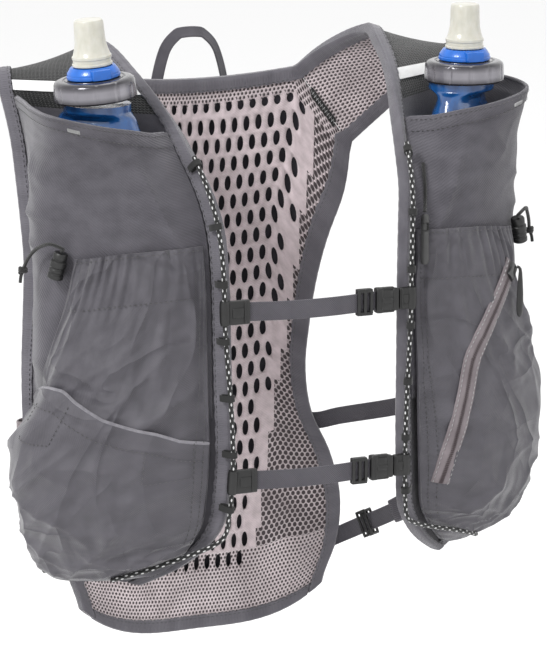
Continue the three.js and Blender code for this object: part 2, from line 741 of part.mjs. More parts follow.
// The chest plane: U along a front panel from its inner edge, N out of it
const chestIn = edgePoint('in', 7);
const chestOut = edgePoint('out', 7);
const chestU = v3(chestOut.x - chestIn.x, chestOut.y - chestIn.y, 0).normalize();
const chestN = v3(chestU.y, -chestU.x, 0);

// Wall of a stuffed pocket over a front panel: s up the rows, t across between the bindings.
function pocketFace(height, seat, lean = () => 0) {
  return (s, t) => {
    const edge = (BINDING_WIDTH + 2) / rowWidth(s);
    const from = onFront(s, edge, seat);
    const to = onFront(s, 1 - edge, seat);
    const lift = Math.max(along(frontRows, 'camber', s), 0) * 4 * t * (1 - t);
    return from
      .lerp(to, t)
      .addScaledVector(chestN, height(s, t) + lift)
      .addScaledVector(chestU, -dome(t) * lean(s));
  };
}
const dome = (t) => (t < 0 || t > 1 ? 0 : reading(DOME, 'across', 'height', t));
const pocketDepth = FLASK_THICKNESS + POCKET_EASE;
const seatLow = SHEET + 2 * GAP;
const seatHigh = seatLow + CLOTH + 2 * GAP;
const flaskRise = (s, t) => pocketDepth * reading(FLASK_BULGE, 'row', 'bulge', s) * dome(t);
const onFlaskWall = above(
  pocketFace(flaskRise, seatLow, (s) => pocketDepth * reading(FLASK_BULGE, 'row', 'lean', s)),
);

// A lower pocket bulges over the flask pocket and comes down to it at its outer border.
const border = (s) => reading(LOWER_BORDER, 'row', 'across', s);
function lowerRise(s, t) {
  const room = 2.5;
  const full = LOWER_DEPTH * reading(LOWER_BULGE, 'row', 'bulge', s) * dome(t);
  const down = Math.min(Math.max(s - 5, 0), 1) * THREE.MathUtils.smoothstep(t / border(s), 0.75, 1);
  return mix(Math.max(full, flaskRise(s, t) + room), flaskRise(s, t) + room, down);
}
const lowerFace = pocketFace(lowerRise, seatHigh);
const onLowerWall = above((s, t) => lowerFace(s, t * border(s)));
const domeStations = DOME.map((row) => row.across);

function pockets() {
  const rims = (rim, from, count) =>
    steps(0, 1, count).map((f) => (t) => mix(from, reading(rim, 'across', 'row', t), f));
  const flaskRows = [5.45, 5.8, 6.4, 7, ...rims(FLASK_RIM, 8, 4)];
  const hem = (t) => reading(LOWER_HEM, 'across', 'row', t);
  const lowerRows = (low) => [low, ...steps(1, 5, 4), 5.8, 6.4, 7, 8, hem];
  for (const [side, name] of SIDES) {
    add(`${name}_flask_pocket`, 'pocket', slab(onFlaskWall, flaskRows, domeStations, 0, CLOTH), side);
    // The zipped pocket is sewn on a touch higher and stands a hair further out
    const [low, stand] = side > 0 ? [0.66, 0.1] : [0.6, 0];
    const lower = slab(onLowerWall, lowerRows(low), domeStations, stand, CLOTH);
    add(side > 0 ? 'left_zip_pocket' : 'right_cinch_pocket', 'cloth', lower, side);
  }
  const stashLow = CLOTH + 6 * GAP;
  const rim = (t) => reading(STASH_RIM, 'across', 'row', t);
  const under = (t) => Math.min(5, rim(t) - 0.3);
  const stashRows = [...steps(1, 4, 3), under, (t) => mix(under(t), rim(t), 0.5), rim];
  const stash = slab(onLowerWall, stashRows, domeStations, stashLow, stashLow + CLOTH);
  add('right_stash_pocket', 'cloth', stash, -1);
}

// Zip along the left lower pocket, with its slider and hanging pull
function zip() {
  const rows = steps(0, ZIP_ROUTE.length - 1, 14);
  const onZip = (u, v, h) => {
    const s = along(ZIP_ROUTE, 'row', u);
    const t = along(ZIP_ROUTE, 'across', u) + v / rowWidth(s) / border(s);
    return onLowerWall(s, t, h);
  };
  const low = CLOTH + 4 * GAP;
  add('zip_tape', 'zip', slab(onZip, rows, [-ZIP_WIDTH / 2, ZIP_WIDTH / 2], low, low + TAPE));
  const seat = low + TAPE + GAP;
  add('zip_slider', 'plastic', slab(onZip, [0.05, 0.4], [-4, 4], seat, seat + 3.2));
  const hang = (up, v, h) => onZip(0.02, v, h).add(v3(0, 0, up));
  const pull = slab(hang, [-4, -20, -36], [-3.2, 3.2], seat + 5, seat + 8);
  add('zip_pull', 'plastic', pull);
}

// Soft flask, screw cap, shut-off collar and bite valve on one axis
const capOffset = FLASK_THICKNESS / 2 + 1.7;
const capAlong = 0.538 * chestIn.distanceTo(chestOut);
const flaskAxis = chestIn.clone().setZ(0);
flaskAxis.addScaledVector(chestU, capAlong).addScaledVector(chestN, capOffset);
function flasks() {
  const turn = THREE.MathUtils.degToRad(FLASK_TURN);
  const wide = chestU.clone().applyAxisAngle(UP, -turn);
  const thin = chestN.clone().applyAxisAngle(UP, -turn);
  const capLow = CAP_TOP - CAP_HEIGHT;
  const foot = capLow - FLASK_HEIGHT;
  // Heights as shares of the flask, widths and thicknesses as shares of the full ones
  const bodyRows = table('height wide thick round', [
    [0, 0.45, 0.3, 0],
    [0.03, 0.72, 0.66, 0],
    [0.12, 0.93, 0.93, 0],
    [0.3, 1, 1, 0],
    [0.7, 0.9, 0.96, 0],
    [0.86, 0.72, 0.82, 0],
    [0.96, 0.58, 0.62, 0],
    [0.975, 0, 0, 1],
    [1, 0, 0, 1],
  ]);
  const circle = steps(0, 15, 15).map((k) => [Math.cos((k * Math.PI) / 8), Math.sin((k * Math.PI) / 8)]);
  const neck = CAP_RADIUS - 5;
  const rings = bodyRows.map((row) =>
    circle.map(([a, b]) =>
      flaskAxis
        .clone()
        .setZ(foot + row.height * (FLASK_HEIGHT - GAP))
        .addScaledVector(wide, row.round ? a * neck : (a * row.wide * FLASK_WIDTH) / 2)
        .addScaledVector(thin, row.round ? b * neck : (b * row.thick * FLASK_THICKNESS) / 2 - FLASK_SHIFT),
    ),
  );
  const cap = [
    [0, 0],
    [CAP_RADIUS, 0],
    [CAP_RADIUS - 0.6, CAP_HEIGHT - 2],
    [CAP_RADIUS - 3, CAP_HEIGHT],
    [0, CAP_HEIGHT],
  ];
  const collarLow = CAP_HEIGHT + GAP;
  const collarTop = collarLow + COLLAR_HEIGHT;
  const collar = [
    [0, collarLow],
    [COLLAR_RADIUS, collarLow],
    [COLLAR_RADIUS, collarLow + 2],
    [COLLAR_RADIUS - 3, collarTop],
    [0, collarTop],
  ];
  const valveLow = collarTop + GAP;
  const tip = valveLow + VALVE_HEIGHT;
  const valve = [
    [0, valveLow],
    [VALVE_RADIUS, valveLow],
    [VALVE_RADIUS, valveLow + 0.22 * VALVE_HEIGHT],
    [0.78 * VALVE_RADIUS, valveLow + 0.5 * VALVE_HEIGHT],
    [0.74 * VALVE_RADIUS, tip - 1],
    [0.66 * VALVE_RADIUS, tip],
    [0, tip],
  ];
  const tab = box(12, 6, 7, [0, 1.5 - COLLAR_RADIUS, collarLow + 3.5]);
  for (const [side, name] of SIDES) {
    add(`${name}_flask`, 'blue', loft(rings, circle), side);
    const top = new THREE.Group();
    top.position.set(side * flaskAxis.x, flaskAxis.y, capLow);
    top.rotation.y = side < 0 ? -THREE.MathUtils.degToRad(CAP_LEAN) : 0;
    vest.add(top);
    const lift = side < 0 ? CAP_RADIUS * Math.sin(THREE.MathUtils.degToRad(CAP_LEAN)) : 0;
    top.position.z += lift;
    add(`${name}_flask_cap`, 'cap', turned(cap, 20), 1, top);
    add(`${name}_valve_collar`, 'blue', joined(turned(collar, 16), tab), 1, top);
    add(`${name}_bite_valve`, 'valve', turned(valve, 12), 1, top);
  }
}

// Rail cords, each ending on the face of the lower pocket near the panel's bottom
function rails() {
  // On the right side the cord's end lies on the stash pocket as well
  const lay = (side) => (side > 0 ? CLOTH : 2 * CLOTH + 4 * GAP) + 3 * GAP + RAIL_CORD;
  const route = (side) => [
    ...steps(0, 2, 2).map((k) => onLowerWall(1.35 + 0.25 * k, 0.3 - 0.1 * k, lay(side))),
    railPoint(RAIL_FOOT - 0.4).add(v3(0, -1.5, 1)),
    ...steps(RAIL_FOOT + 0.4, RAIL_HEAD, 10).map(railPoint),
  ];
  for (const [side, name] of SIDES) add(`${name}_rail_cord`, 'cord', cord(route(side), RAIL_CORD, 28), side);
}

// Chest strap: hooks on both rail cords, and the web from one hook through its glide to the buckle
function chestStrap(name, height) {
  const s = rowAt(height);
  const rail = railPoint(s);
  const direction = railDirection(s);
  const wall = 1.1;
  const sleeve = (radius, length) =>
    new THREE.CylinderGeometry(radius, radius, length, 8).rotateX(Math.PI / 2);
  const onRail = (geometry) => {
    const x = v3(1, 0, 0).addScaledVector(direction, -direction.x).normalize();
    return placed(geometry, rail, x, direction.clone().cross(x), direction);
  };
  const hook = (length, tall) => {
    const near = onRail(sleeve(RAIL_CORD + GAP + wall, tall - 2));
    const arm = box(length, 4, tall, [rail.x - length / 2, rail.y, rail.z]);
    return cut(joined(near, arm), onRail(sleeve(RAIL_CORD + GAP, 2 * tall)));
  };
  const webY = rail.y;
  const hookEnd = HOOK_LENGTH - rail.x;
  const buckleEnd = rail.x - CLIP_LENGTH - GAP;
  const buckleStart = buckleEnd - BUCKLE_LENGTH;
  const glideEnd = buckleStart - 2;
  const [start, end] = [hookEnd - 3, buckleStart + 3];
  const bow = 1.5;
  const route = [0, 0.33, 0.66, 1].map((f, i) =>
    v3(mix(start, end, f), webY - (i % 3 ? bow : 0), rail.z - (i % 3 ? 1 : 0)),
  );
  const slot = (x, y) => box(8, WEB_THICKNESS + 3 * GAP, WEBBING + 3 * GAP, [x, y, rail.z]);
  const clip = hook(CLIP_LENGTH, 0.85 * BUCKLE_HEIGHT);
  add(`${name}_left_hook`, 'plastic', clip);
  const webSlot = slot(rail.x - HOOK_LENGTH, webY - 0.1);
  const rightHook = cut(hook(HOOK_LENGTH, BUCKLE_HEIGHT - 1), webSlot);
  add(`${name}_right_hook`, 'plastic', rightHook, -1);
  add(`${name}_web`, 'webbing', ribbon(route, WEBBING, WEB_THICKNESS, UP, 8));
  const body = box(BUCKLE_LENGTH, 6.5, BUCKLE_HEIGHT, [(buckleStart + buckleEnd) / 2, webY, rail.z]);
  const windowX = mix(buckleStart, buckleEnd, 0.62);
  const windows = [-1, 1].map((sign) =>
    box(0.4 * BUCKLE_LENGTH, 9, 3, [windowX, webY, rail.z + (sign * BUCKLE_HEIGHT) / 2]),
  );
  add(`${name}_web_buckle`, 'plastic', cut(body, slot(buckleStart, webY - 0.1), ...windows));
  const glideX = glideEnd - GLIDE_LENGTH / 2;
  const glide = box(GLIDE_LENGTH, 5, WEBBING + 5, [glideX, webY - 0.7, rail.z - 0.3]);
  const middle = [glideX, webY - 0.7, rail.z - 0.4];
  const passage = box(2 * GLIDE_LENGTH, WEB_THICKNESS + 1.4, WEBBING + 1.4, middle);
  add(`${name}_web_glide`, 'plastic', cut(glide, passage));
}

// Side straps from the back's edges to the side edges of the front panels, and what runs on them
function sideStraps() {
  const lay = FACE_TOP + GAP + WEB_THICKNESS / 2;
  const inside = -2 * GAP - TAPE - WEB_THICKNESS / 2;
  const ends = table('level back front', [
    ['upper', 0.63, 4.7],
    ['lower', 0.9, 2.4],
  ]);
  const holder = (curve, f, length, wall) => {
    const { point, length: x, flat: z, thin } = frameOn(curve, f, UP);
    const body = box(length, WEB_THICKNESS + 2 * wall + 1.6, WEBBING + 2 * wall + 1.6);
    const passage = box(2 * length, WEB_THICKNESS + 1.6, WEBBING + 1.6);
    return placed(cut(body, passage), point, x, thin.negate(), z);
  };
  for (const [side, name] of SIDES)
    for (const { level, back, front } of ends) {
      const edge = onBack(back, 1, lay);
      const lip = onFront(front, 1, inside);
      const route = [
        onBack(back, 1 - 16 / backWidth(back), lay + 4 * GAP),
        edge.clone().add(v3(1.5, 0.5, 0)),
        edge.clone().lerp(lip, 0.15).add(v3(7, 3, 0)),
        edge.clone().lerp(lip, 0.5).add(v3(7, 0, 0)),
        lip.clone().lerp(edge, 0.1).add(v3(1, 0, 0)),
        onFront(front, 1 - 10 / rowWidth(front), inside - GAP),
      ];
      const strap = ribbon(route, WEBBING, WEB_THICKNESS, UP, 12);
      add(`${name}_${level}_side_strap`, 'webbing', strap, side);
      if (level === 'lower')
        add(`${name}_side_slider`, 'plastic', holder(smooth(route), 0.34, 10, 1.8), side);
      if (level === 'lower' && side > 0)
        add('left_strap_keeper', 'webbing', holder(smooth(route), 0.6, 15, 1), side);
    }
}

// Cord lock at the end of each lower pocket's hem, with its looped cord and knot
function cinches() {
  const row = LOWER_HEM[1].row - 0.3;
  const across = 0.58;
  const seat = CLOTH + GAP;
  const point = onFlaskWall(row, across, seat + LOCK_RADIUS);
  const top = onFlaskWall(row + 0.4, across - 0.03, seat + LOCK_RADIUS);
  const z = top.sub(point).normalize();
  const out = point.clone().sub(onFlaskWall(row, across, seat));
  const y = z.clone().cross(out).normalize();
  const x = y.clone().cross(z);
  const barrel = new THREE.CylinderGeometry(0.9 * LOCK_RADIUS, LOCK_RADIUS, LOCK_LENGTH, 10);
  barrel.rotateX(Math.PI / 2);
  const place = (a, b, c) => point.clone().addScaledVector(x, a).addScaledVector(y, b).addScaledVector(z, c);
  const end = LOCK_LENGTH / 2 + GAP;
  const route = [
    place(0, 0, end + 0.6),
    place(2, -1, end + 3),
    place(4, 8, end + 3),
    place(2, 17, end - 4),
    place(1, 22, end - 13),
    place(0, 24, end - 22),
  ];
  const knot = new THREE.SphereGeometry(3.2, 6, 5);
  for (const [side, name] of SIDES) {
    add(`${name}_cinch_lock`, 'plastic', placed(barrel.clone(), point, x, y, z), side);
    const tied = joined(cord(route, THIN_CORD, 10), knot.clone().translate(...route.at(-1)));
    add(`${name}_cinch_cord`, 'cord', tied, side);
  }
}

// Whistle hung by a cord from a tab of the left rail
function whistle() {
  const lay = CLOTH + GAP + 3.4;
  const place = (s, w, h) => onLowerWall(s, 0.045 + w / rowWidth(s), h + lay);
  const low = rowAt(-100 - WHISTLE_LENGTH);
  const high = rowAt(-100);
  const body = slab(place, [low, (low + high) / 2, high], [-4.5, 4.5], -2.5, 2.5);
  add('whistle', 'plastic', body);
  const clear = CLOTH + 2 * GAP + THIN_CORD;
  const route = [
    place(high, 0, 0).add(v3(0, 0, GAP + THIN_CORD)),
    ...[0.35, 0.8, 1.3].map((up) => onFlaskWall(high + up, 0.045, clear)),
  ];
  add('whistle_cord', 'cord', cord(route, THIN_CORD, 8));
}

// Webbing loop and cord loop on the right side edge
function sideLoops() {
  const edge = (s, w, h) => onFront(s, 1 + w / rowWidth(s), h);
  const low = -3 * GAP - TAPE - WEB_THICKNESS / 2;
  const high = FACE_TOP + 2 * GAP + WEB_THICKNESS / 2;
  const webLoop = [
    edge(4.9, -6, low),
    edge(4.9, 2.5, low - 1),
    edge(4.9, 6.5, SHEET / 2),
    edge(4.9, 2.5, high + 1),
    edge(4.9, -6, high),
  ];
  add('right_side_loop', 'webbing', ribbon(webLoop, 0.95 * WEBBING, WEB_THICKNESS, UP, 10), -1);
  const reach = [1.2, 4, 6, 6.5, 5, 2.4];
  const ring = [3.3, 3.2, 2.9, 2.5, 2.1, 1.9].map((s, i) => edge(s, reach[i] + THIN_CORD, 3));
  add('right_cord_loop', 'cord', cord(ring, THIN_CORD, 10), -1);
}

// Hang loop behind the nape, with a flat top
function hangLoop() {
  const y = BACK_DEPTH + FACE_TOP + GAP + LOOP_DEPTH / 2 + 1;
  const low = -NAPE_DROP - 14;
  const top = -NAPE_DROP + LOOP_HEIGHT;
  const half = table('across height', [
    [1, low],
    [0.97, low + 14],
    [0.74, top - 12],
    [0.42, top - 2],
    [0.2, top],
  ]);
  const route = [
    ...half.map((row) => v3(-row.across * LOOP_HALF_WIDTH, y, row.height)),
    ...half.map((row) => v3(row.across * LOOP_HALF_WIDTH, y, row.height)).reverse(),
  ];
  const rings = route.map((point, i) => {
    const ahead = route[Math.min(i + 1, route.length - 1)];
    const thin = v3(0, 1, 0).cross(ahead.clone().sub(route[Math.max(i - 1, 0)]).normalize());
    return SQUARE.map(([a, b]) =>
      point
        .clone()
        .add(v3(0, a * LOOP_DEPTH, 0))
        .addScaledVector(thin, b * WEB_THICKNESS),
    );
  });
  add('hang_loop', 'dark', loft(rings, SQUARE));
}

backPanel();
for (const [side, name] of SIDES) frontPanel(side, name);
bindings();
pockets();
zip();
flasks();
rails();
chestStrap('upper', UPPER_STRAP);
chestStrap('lower', LOWER_STRAP);
sideStraps();
cinches();
whistle();
sideLoops();
hangLoop();

export default vest;
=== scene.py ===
# Running hydration vest in the form it has when worn: a mesh back, two front panels with filled pockets,
# and two soft flasks. Lengths are in millimetres along the frame's axes; make() turns them into metres.
import bpy
import math
import numpy as np
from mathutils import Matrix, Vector


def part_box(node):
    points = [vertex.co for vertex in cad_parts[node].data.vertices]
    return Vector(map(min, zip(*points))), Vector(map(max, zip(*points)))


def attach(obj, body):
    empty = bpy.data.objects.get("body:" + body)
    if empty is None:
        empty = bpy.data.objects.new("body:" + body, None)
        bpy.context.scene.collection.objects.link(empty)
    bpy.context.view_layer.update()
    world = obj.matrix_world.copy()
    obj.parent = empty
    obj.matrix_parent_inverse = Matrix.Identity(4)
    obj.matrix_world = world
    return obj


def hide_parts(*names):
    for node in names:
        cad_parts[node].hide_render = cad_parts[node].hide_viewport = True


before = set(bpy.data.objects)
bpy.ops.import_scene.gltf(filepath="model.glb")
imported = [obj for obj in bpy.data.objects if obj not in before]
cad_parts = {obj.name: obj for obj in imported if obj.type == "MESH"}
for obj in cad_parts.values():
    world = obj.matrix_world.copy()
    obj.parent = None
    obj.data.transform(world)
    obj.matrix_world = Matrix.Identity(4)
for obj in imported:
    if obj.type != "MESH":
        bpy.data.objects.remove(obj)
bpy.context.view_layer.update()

# View: a long lens from the front, a little to the wearer's right and above the shoulders. Angle, distance
# and lens come from a fit of points on the vest to the photo.
SENSOR, FOCAL_PIXELS, TALL_PIXELS = 36, 3167, 650
camera = bpy.data.objects.new("camera", bpy.data.cameras.new("camera"))
bpy.context.scene.collection.objects.link(camera)
bpy.context.scene.camera = camera
azimuth, elevation = math.radians(-21.3), math.radians(13.1)
to_camera = Vector((math.sin(azimuth) * math.cos(elevation),
                    -math.cos(azimuth) * math.cos(elevation), math.sin(elevation)))
camera.location = (-0.760, -2.012, 0.303)
camera.rotation_mode = "QUATERNION"
camera.rotation_quaternion = (-to_camera).to_track_quat("-Z", "Y")
camera.data.sensor_width = SENSOR
camera.data.lens = SENSOR * FOCAL_PIXELS / TALL_PIXELS
camera.data.clip_end = 30

# The vest's shape, from the same rows and shares as the frame's source. Each front panel is a strip of two
# cloth layers from its bottom edge over the shoulder to the seam; the back hangs from both seams and the
# nape.
HALF_WIDTH, CHEST, LENGTH = 168, 136, 350
BACK_DEPTH, BACK_LENGTH, BACK_HALF, NECK_HALF, NAPE, SEAM_DROP = 90, 410, 106, 69, 38, 85
PANEL = np.array([
    [0.629, -0.69, -0.985, 0.875, -0.267, -1.015, 0.03],
    [0.512, -0.843, -0.942, 0.885, -0.146, -0.994, 0.052],
    [0.432, -0.925, -0.9, 0.902, -0.088, -0.954, 0.074],
    [0.375, -0.98, -0.849, 0.912, -0.069, -0.897, 0.08],
    [0.357, -1.01, -0.771, 0.925, -0.054, -0.823, 0.074],
    [0.351, -1.02, -0.686, 0.94, -0.064, -0.714, 0.05],
    [0.354, -1.015, -0.586, 0.943, -0.059, -0.606, 0.01],
    [0.357, -1.01, -0.486, 0.94, -0.064, -0.5, -0.055],
    [0.36, -1.004, -0.386, 0.935, -0.074, -0.394, -0.06],
    [0.369, -0.985, -0.3, 0.943, -0.059, -0.309, -0.06],
    [0.39, -0.926, -0.234, 0.955, -0.044, -0.234, -0.06],
    [0.42, -0.787, -0.171, 0.97, -0.029, -0.16, -0.05],
    [0.452, -0.632, -0.114, 0.994, -0.022, -0.1, -0.03],
    [0.494, -0.456, -0.069, 1.018, -0.022, -0.057, -0.01],
    [0.53, -0.279, -0.034, 1.024, 0.015, -0.041, 0],
    [0.554, -0.088, -0.004, 1.006, 0.074, -0.044, 0],
    [0.577, 0.044, 0.008, 0.97, 0.14, -0.06, 0]])
STRAP = np.array([
    [-0.04, 0.215, 0.05, 0.16, 0.22, 0.15, 0],
    [0.14, 0.43, 0.19, 0.37, 0.44, 0.36, 0.007],
    [0.43, 0.63, 0.41, 0.58, 0.66, 0.59, 0.01],
    [0.71, 0.83, 0.68, 0.79, 0.85, 0.8, 0.007],
    [1, 1, 1, 1, 1, 1, 0]])
BACK = np.array([
    [1, 1, 0.667], [0.96, 1.03, 0.7], [0.86, 1.05, 0.74], [0.79, 1.06, 0.78], [0.745, 1.06, 0.8],
    [0.725, 1.05, 0.82], [0.775, 1.03, 0.83], [0.915, 1.02, 0.82], [0.99, 1.03, 0.82], [0.975, 1.04, 0.84],
    [0.877, 1.05, 0.87]])
axes_scale = np.array([HALF_WIDTH, CHEST, LENGTH] * 2)
seam_ends = np.array([NECK_HALF, 0.79 * BACK_DEPTH, -0.79 * NAPE, BACK_HALF, 0.667 * BACK_DEPTH, -SEAM_DROP])
panel_rows = PANEL[:, :6] * axes_scale
strap_rows = panel_rows[-1] + (seam_ends - panel_rows[-1]) * STRAP[:, :6]
ROWS = np.hstack([np.vstack([panel_rows, strap_rows]),
                  np.concatenate([PANEL[:, 6], STRAP[:, 6]])[:, None] * CHEST])
SEAM_ROW = len(ROWS) - 1


def smooth(column, at):
    """Catmull-Rom value of a column of numbers at fractional row numbers."""
    at = np.asarray(at, float)
    i = np.clip(np.floor(at).astype(int), 0, len(column) - 2)
    f = at - i
    a, b, c, d = (column[np.clip(i + k, 0, len(column) - 1)] for k in (-1, 0, 1, 2))
    return b + 0.5 * f * (c - a + f * (2 * a - 5 * b + 4 * c - d + f * (3 * (b - c) + d - a)))


def edge(part, s):
    """Inner (0) or outer (3) edge of a front panel at row s."""
    return np.stack([smooth(ROWS[:, part + k], s) for k in range(3)], -1)


def width_at(s):
    return np.linalg.norm(edge(3, s) - edge(0, s), axis=-1)


def unit(a):
    return a / np.maximum(np.linalg.norm(a, axis=-1, keepdims=True), 1e-12)


def wide(a):
    return np.asarray(a, float)[..., None]


def front_face(s, t):
    """Straight line between the two edges, lifted by a parabola for the camber."""
    s, t = np.broadcast_arrays(np.asarray(s, float), np.asarray(t, float))
    inner, outer = edge(0, s), edge(3, s)
    up = edge(0, s + 0.01) + edge(3, s + 0.01) - edge(0, s - 0.01) - edge(3, s - 0.01)
    out = unit(np.cross(outer - inner, up))
    return inner + (outer - inner) * wide(t) + out * wide(smooth(ROWS[:, 6], s) * 4 * t * (1 - t))


def back_half(s):
    return smooth(BACK[:, 0], np.asarray(s) * 10) * BACK_HALF


def step(x, low, high):
    """0 below low, 1 above high, with an S-shaped rise between."""
    f = np.clip((np.asarray(x, float) - low) / (high - low), 0, 1)
    return f * f * (3 - 2 * f)


def back_face(s, v):
    """Back from nape and seams (s 0) to the hem (s 1), v from -1 to 1 across, hollowed towards its edges."""
    s, v = np.broadcast_arrays(np.asarray(s, float), np.asarray(v, float))
    a, share = np.abs(v), NECK_HALF / BACK_HALF
    beyond = (a - share) / (1 - share)
    rise = (a / share) ** 2
    top_y = np.where(a > share, seam_ends[1] + (seam_ends[4] - seam_ends[1]) * beyond,
                     BACK_DEPTH + (seam_ends[1] - BACK_DEPTH) * rise)
    top_z = np.where(a > share, seam_ends[2] + (seam_ends[5] - seam_ends[2]) * beyond,
                     -NAPE + (seam_ends[2] + NAPE) * rise)
    middle, side = (smooth(BACK[:, k], s * 10) * BACK_DEPTH for k in (1, 2))
    y = top_y + (middle + (side - middle) * a ** 1.8 - top_y) * step(s, 0, 0.25)
    hem = -NAPE - BACK_LENGTH + 0.07 * BACK_LENGTH * a ** 3.2
    return np.stack([v * back_half(s), y, top_z + (hem - top_z) * s], -1)


def above(face, d=0.004):
    """Places points h out from a face, along its own normal, found by differences."""
    def place(u, v, h=0.0):
        u, v, h = np.broadcast_arrays(np.asarray(u, float), np.asarray(v, float), np.asarray(h, float))
        across = face(u, v + d) - face(u, v - d)
        up = face(u + d, v) - face(u - d, v)
        return face(u, v) + unit(np.cross(across, up)) * wide(h)
    return place


on_front, on_back = above(front_face), above(back_face)
LINER, SHEET = 2.2, 4.1  # outer faces of the inner and of the outer cloth layer
SIDES = ((1, "left"), (-1, "right"))

# Back mesh: one layer of taupe spacer knit with staggered rows of real oval vents down its middle, fine
# round holes in a band below the neck and above the hem, and an open diamond knit at the sides. All its
# edges are sewn into the bindings.
VENT_ROW, VENT_COLUMN = 14.0, 8.2


def vent_field(s):
    """Half width of the pierced field at share s down the back."""
    return (0.8 - 0.44 * s) * BACK_HALF


def mesh_back():
    """Rows of cells between lines of constant s. A vented cell is a ring from its border to an oval hole."""
    rows = int(BACK_LENGTH / VENT_ROW)
    points, faces, index = [], [], {}

    def spot(s, x):
        key = (round(s, 5), round(x, 3))
        if key not in index:
            index[key] = len(points)
            points.append((s, x))
        return index[key]

    def plain_cell(low, mid, high, a, b):
        faces.append([spot(low, a), spot(low, b), spot(mid, b), spot(high, b), spot(high, a), spot(mid, a)])

    half = VENT_COLUMN / 2
    turn = np.arange(12) * 2 * np.pi / 12
    first = [10, 0, 2, 3, 4, 6, 8, 9]
    for r in range(rows):
        low, high = r / rows, (r + 1) / rows
        mid = (low + high) / 2
        columns = int(vent_field(mid) / VENT_COLUMN)
        vented = 1 <= r < rows - 3
        for k in range(-27, 27):
            a, b = k * half, (k + 1) * half
            if vented and abs(a + half / 2) < columns * VENT_COLUMN:
                continue
            plain_cell(low, mid, high, a, b)
        if vented:
            begin = -columns * VENT_COLUMN + (half if r % 2 else 0)
            count = 2 * columns - (1 if r % 2 else 0)
            if r % 2:
                for a in (-columns * VENT_COLUMN, columns * VENT_COLUMN - half):
                    plain_cell(low, mid, high, a, a + half)
            for c in range(count):
                x0 = begin + c * VENT_COLUMN
                x1, xm = x0 + VENT_COLUMN, x0 + half
                ring = [spot(low, x0), spot(low, xm), spot(low, x1), spot(mid, x1), spot(high, x1),
                        spot(high, xm), spot(high, x0), spot(mid, x0)]
                tall = (0.26 if r == 1 else 0.41) / rows
                broad = 0.27 * VENT_COLUMN
                hole = [spot(mid - tall * math.cos(t), xm + broad * math.sin(t)) for t in turn]
                for k in range(8):
                    i, j = first[k], first[(k + 1) % 8]
                    between = [hole[(i + m) % 12] for m in range((j - i) % 12 + 1)]
                    faces.append([ring[k], ring[(k + 1) % 8], *between[::-1]])
    return np.array(points), faces


def grey(x, tint=(0.0, 0.0, 0.0)):
    """Linear colour from a display grey of 0 to 255, with a small tint added."""
    return tuple((np.clip((x + d) / 255, 0, 1) ** 2.2).item() for d in tint)


LINER_LIGHT, LINER_DARK = grey(228, (5, -9, -6)), grey(168, (6, -6, -4))


def calc(g, operation, a, b=None, c=None):
    """Math node on sockets or numbers."""
    n = g.nodes.new("ShaderNodeMath")
    n.operation = operation
    for k, x in enumerate((a, b, c)):
        if x is None:
            continue
        if isinstance(x, (int, float)):
            n.inputs[k].default_value = x
        else:
            g.links.new(x, n.inputs[k])
    return n.outputs[0]


def group(name, inputs, outputs):
    """Empty node group with named float, vector or colour sockets."""
    g = bpy.data.node_groups.new(name, "ShaderNodeTree")
    for n, kind, value in inputs:
        s = g.interface.new_socket(name=n, in_out="INPUT", socket_type="NodeSocket" + kind)
        if value is not None:
            s.default_value = value
    for n, kind in outputs:
        g.interface.new_socket(name=n, in_out="OUTPUT", socket_type="NodeSocket" + kind)
    return g, g.nodes.new("NodeGroupInput"), g.nodes.new("NodeGroupOutput")


def oval_holes():
    """Staggered rows of oval holes: mask is 1 in a hole and falls to 0 over a soft edge."""
    g, i, o = group("oval_holes", [("Cloth", "Vector", None), ("Pitch across", "Float", 4.0),
                    ("Pitch along", "Float", 4.0), ("Oval", "Float", 1.0), ("Size", "Float", 0.6)],
                    [("Mask", "Float"), ("Edge", "Float")])
    split = g.nodes.new("ShaderNodeSeparateXYZ")
    g.links.new(i.outputs["Cloth"], split.inputs[0])
    row = calc(g, "DIVIDE", split.outputs[1], i.outputs["Pitch along"])
    odd = calc(g, "MULTIPLY", calc(g, "MODULO", calc(g, "ABSOLUTE", calc(g, "FLOOR", row)), 2.0), 0.5)
    column = calc(g, "ADD", calc(g, "DIVIDE", split.outputs[0], i.outputs["Pitch across"]), odd)
    x = calc(g, "SUBTRACT", calc(g, "FRACT", column), 0.5)
    y = calc(g, "MULTIPLY", calc(g, "SUBTRACT", calc(g, "FRACT", row), 0.5), i.outputs["Oval"])
    far = calc(g, "SQRT", calc(g, "ADD", calc(g, "MULTIPLY", x, x), calc(g, "MULTIPLY", y, y)))
    share = calc(g, "DIVIDE", far, calc(g, "MULTIPLY", i.outputs["Size"], 0.5))
    for label, low, high in (("Mask", 1.08, 0.86), ("Edge", 1.55, 0.95)):
        m = g.nodes.new("ShaderNodeMapRange")
        m.interpolation_type = "SMOOTHSTEP"
        m.inputs[1].default_value, m.inputs[2].default_value = low, high
        g.links.new(share, m.inputs[0])
        g.links.new(m.outputs[0], o.inputs[label])
    return g


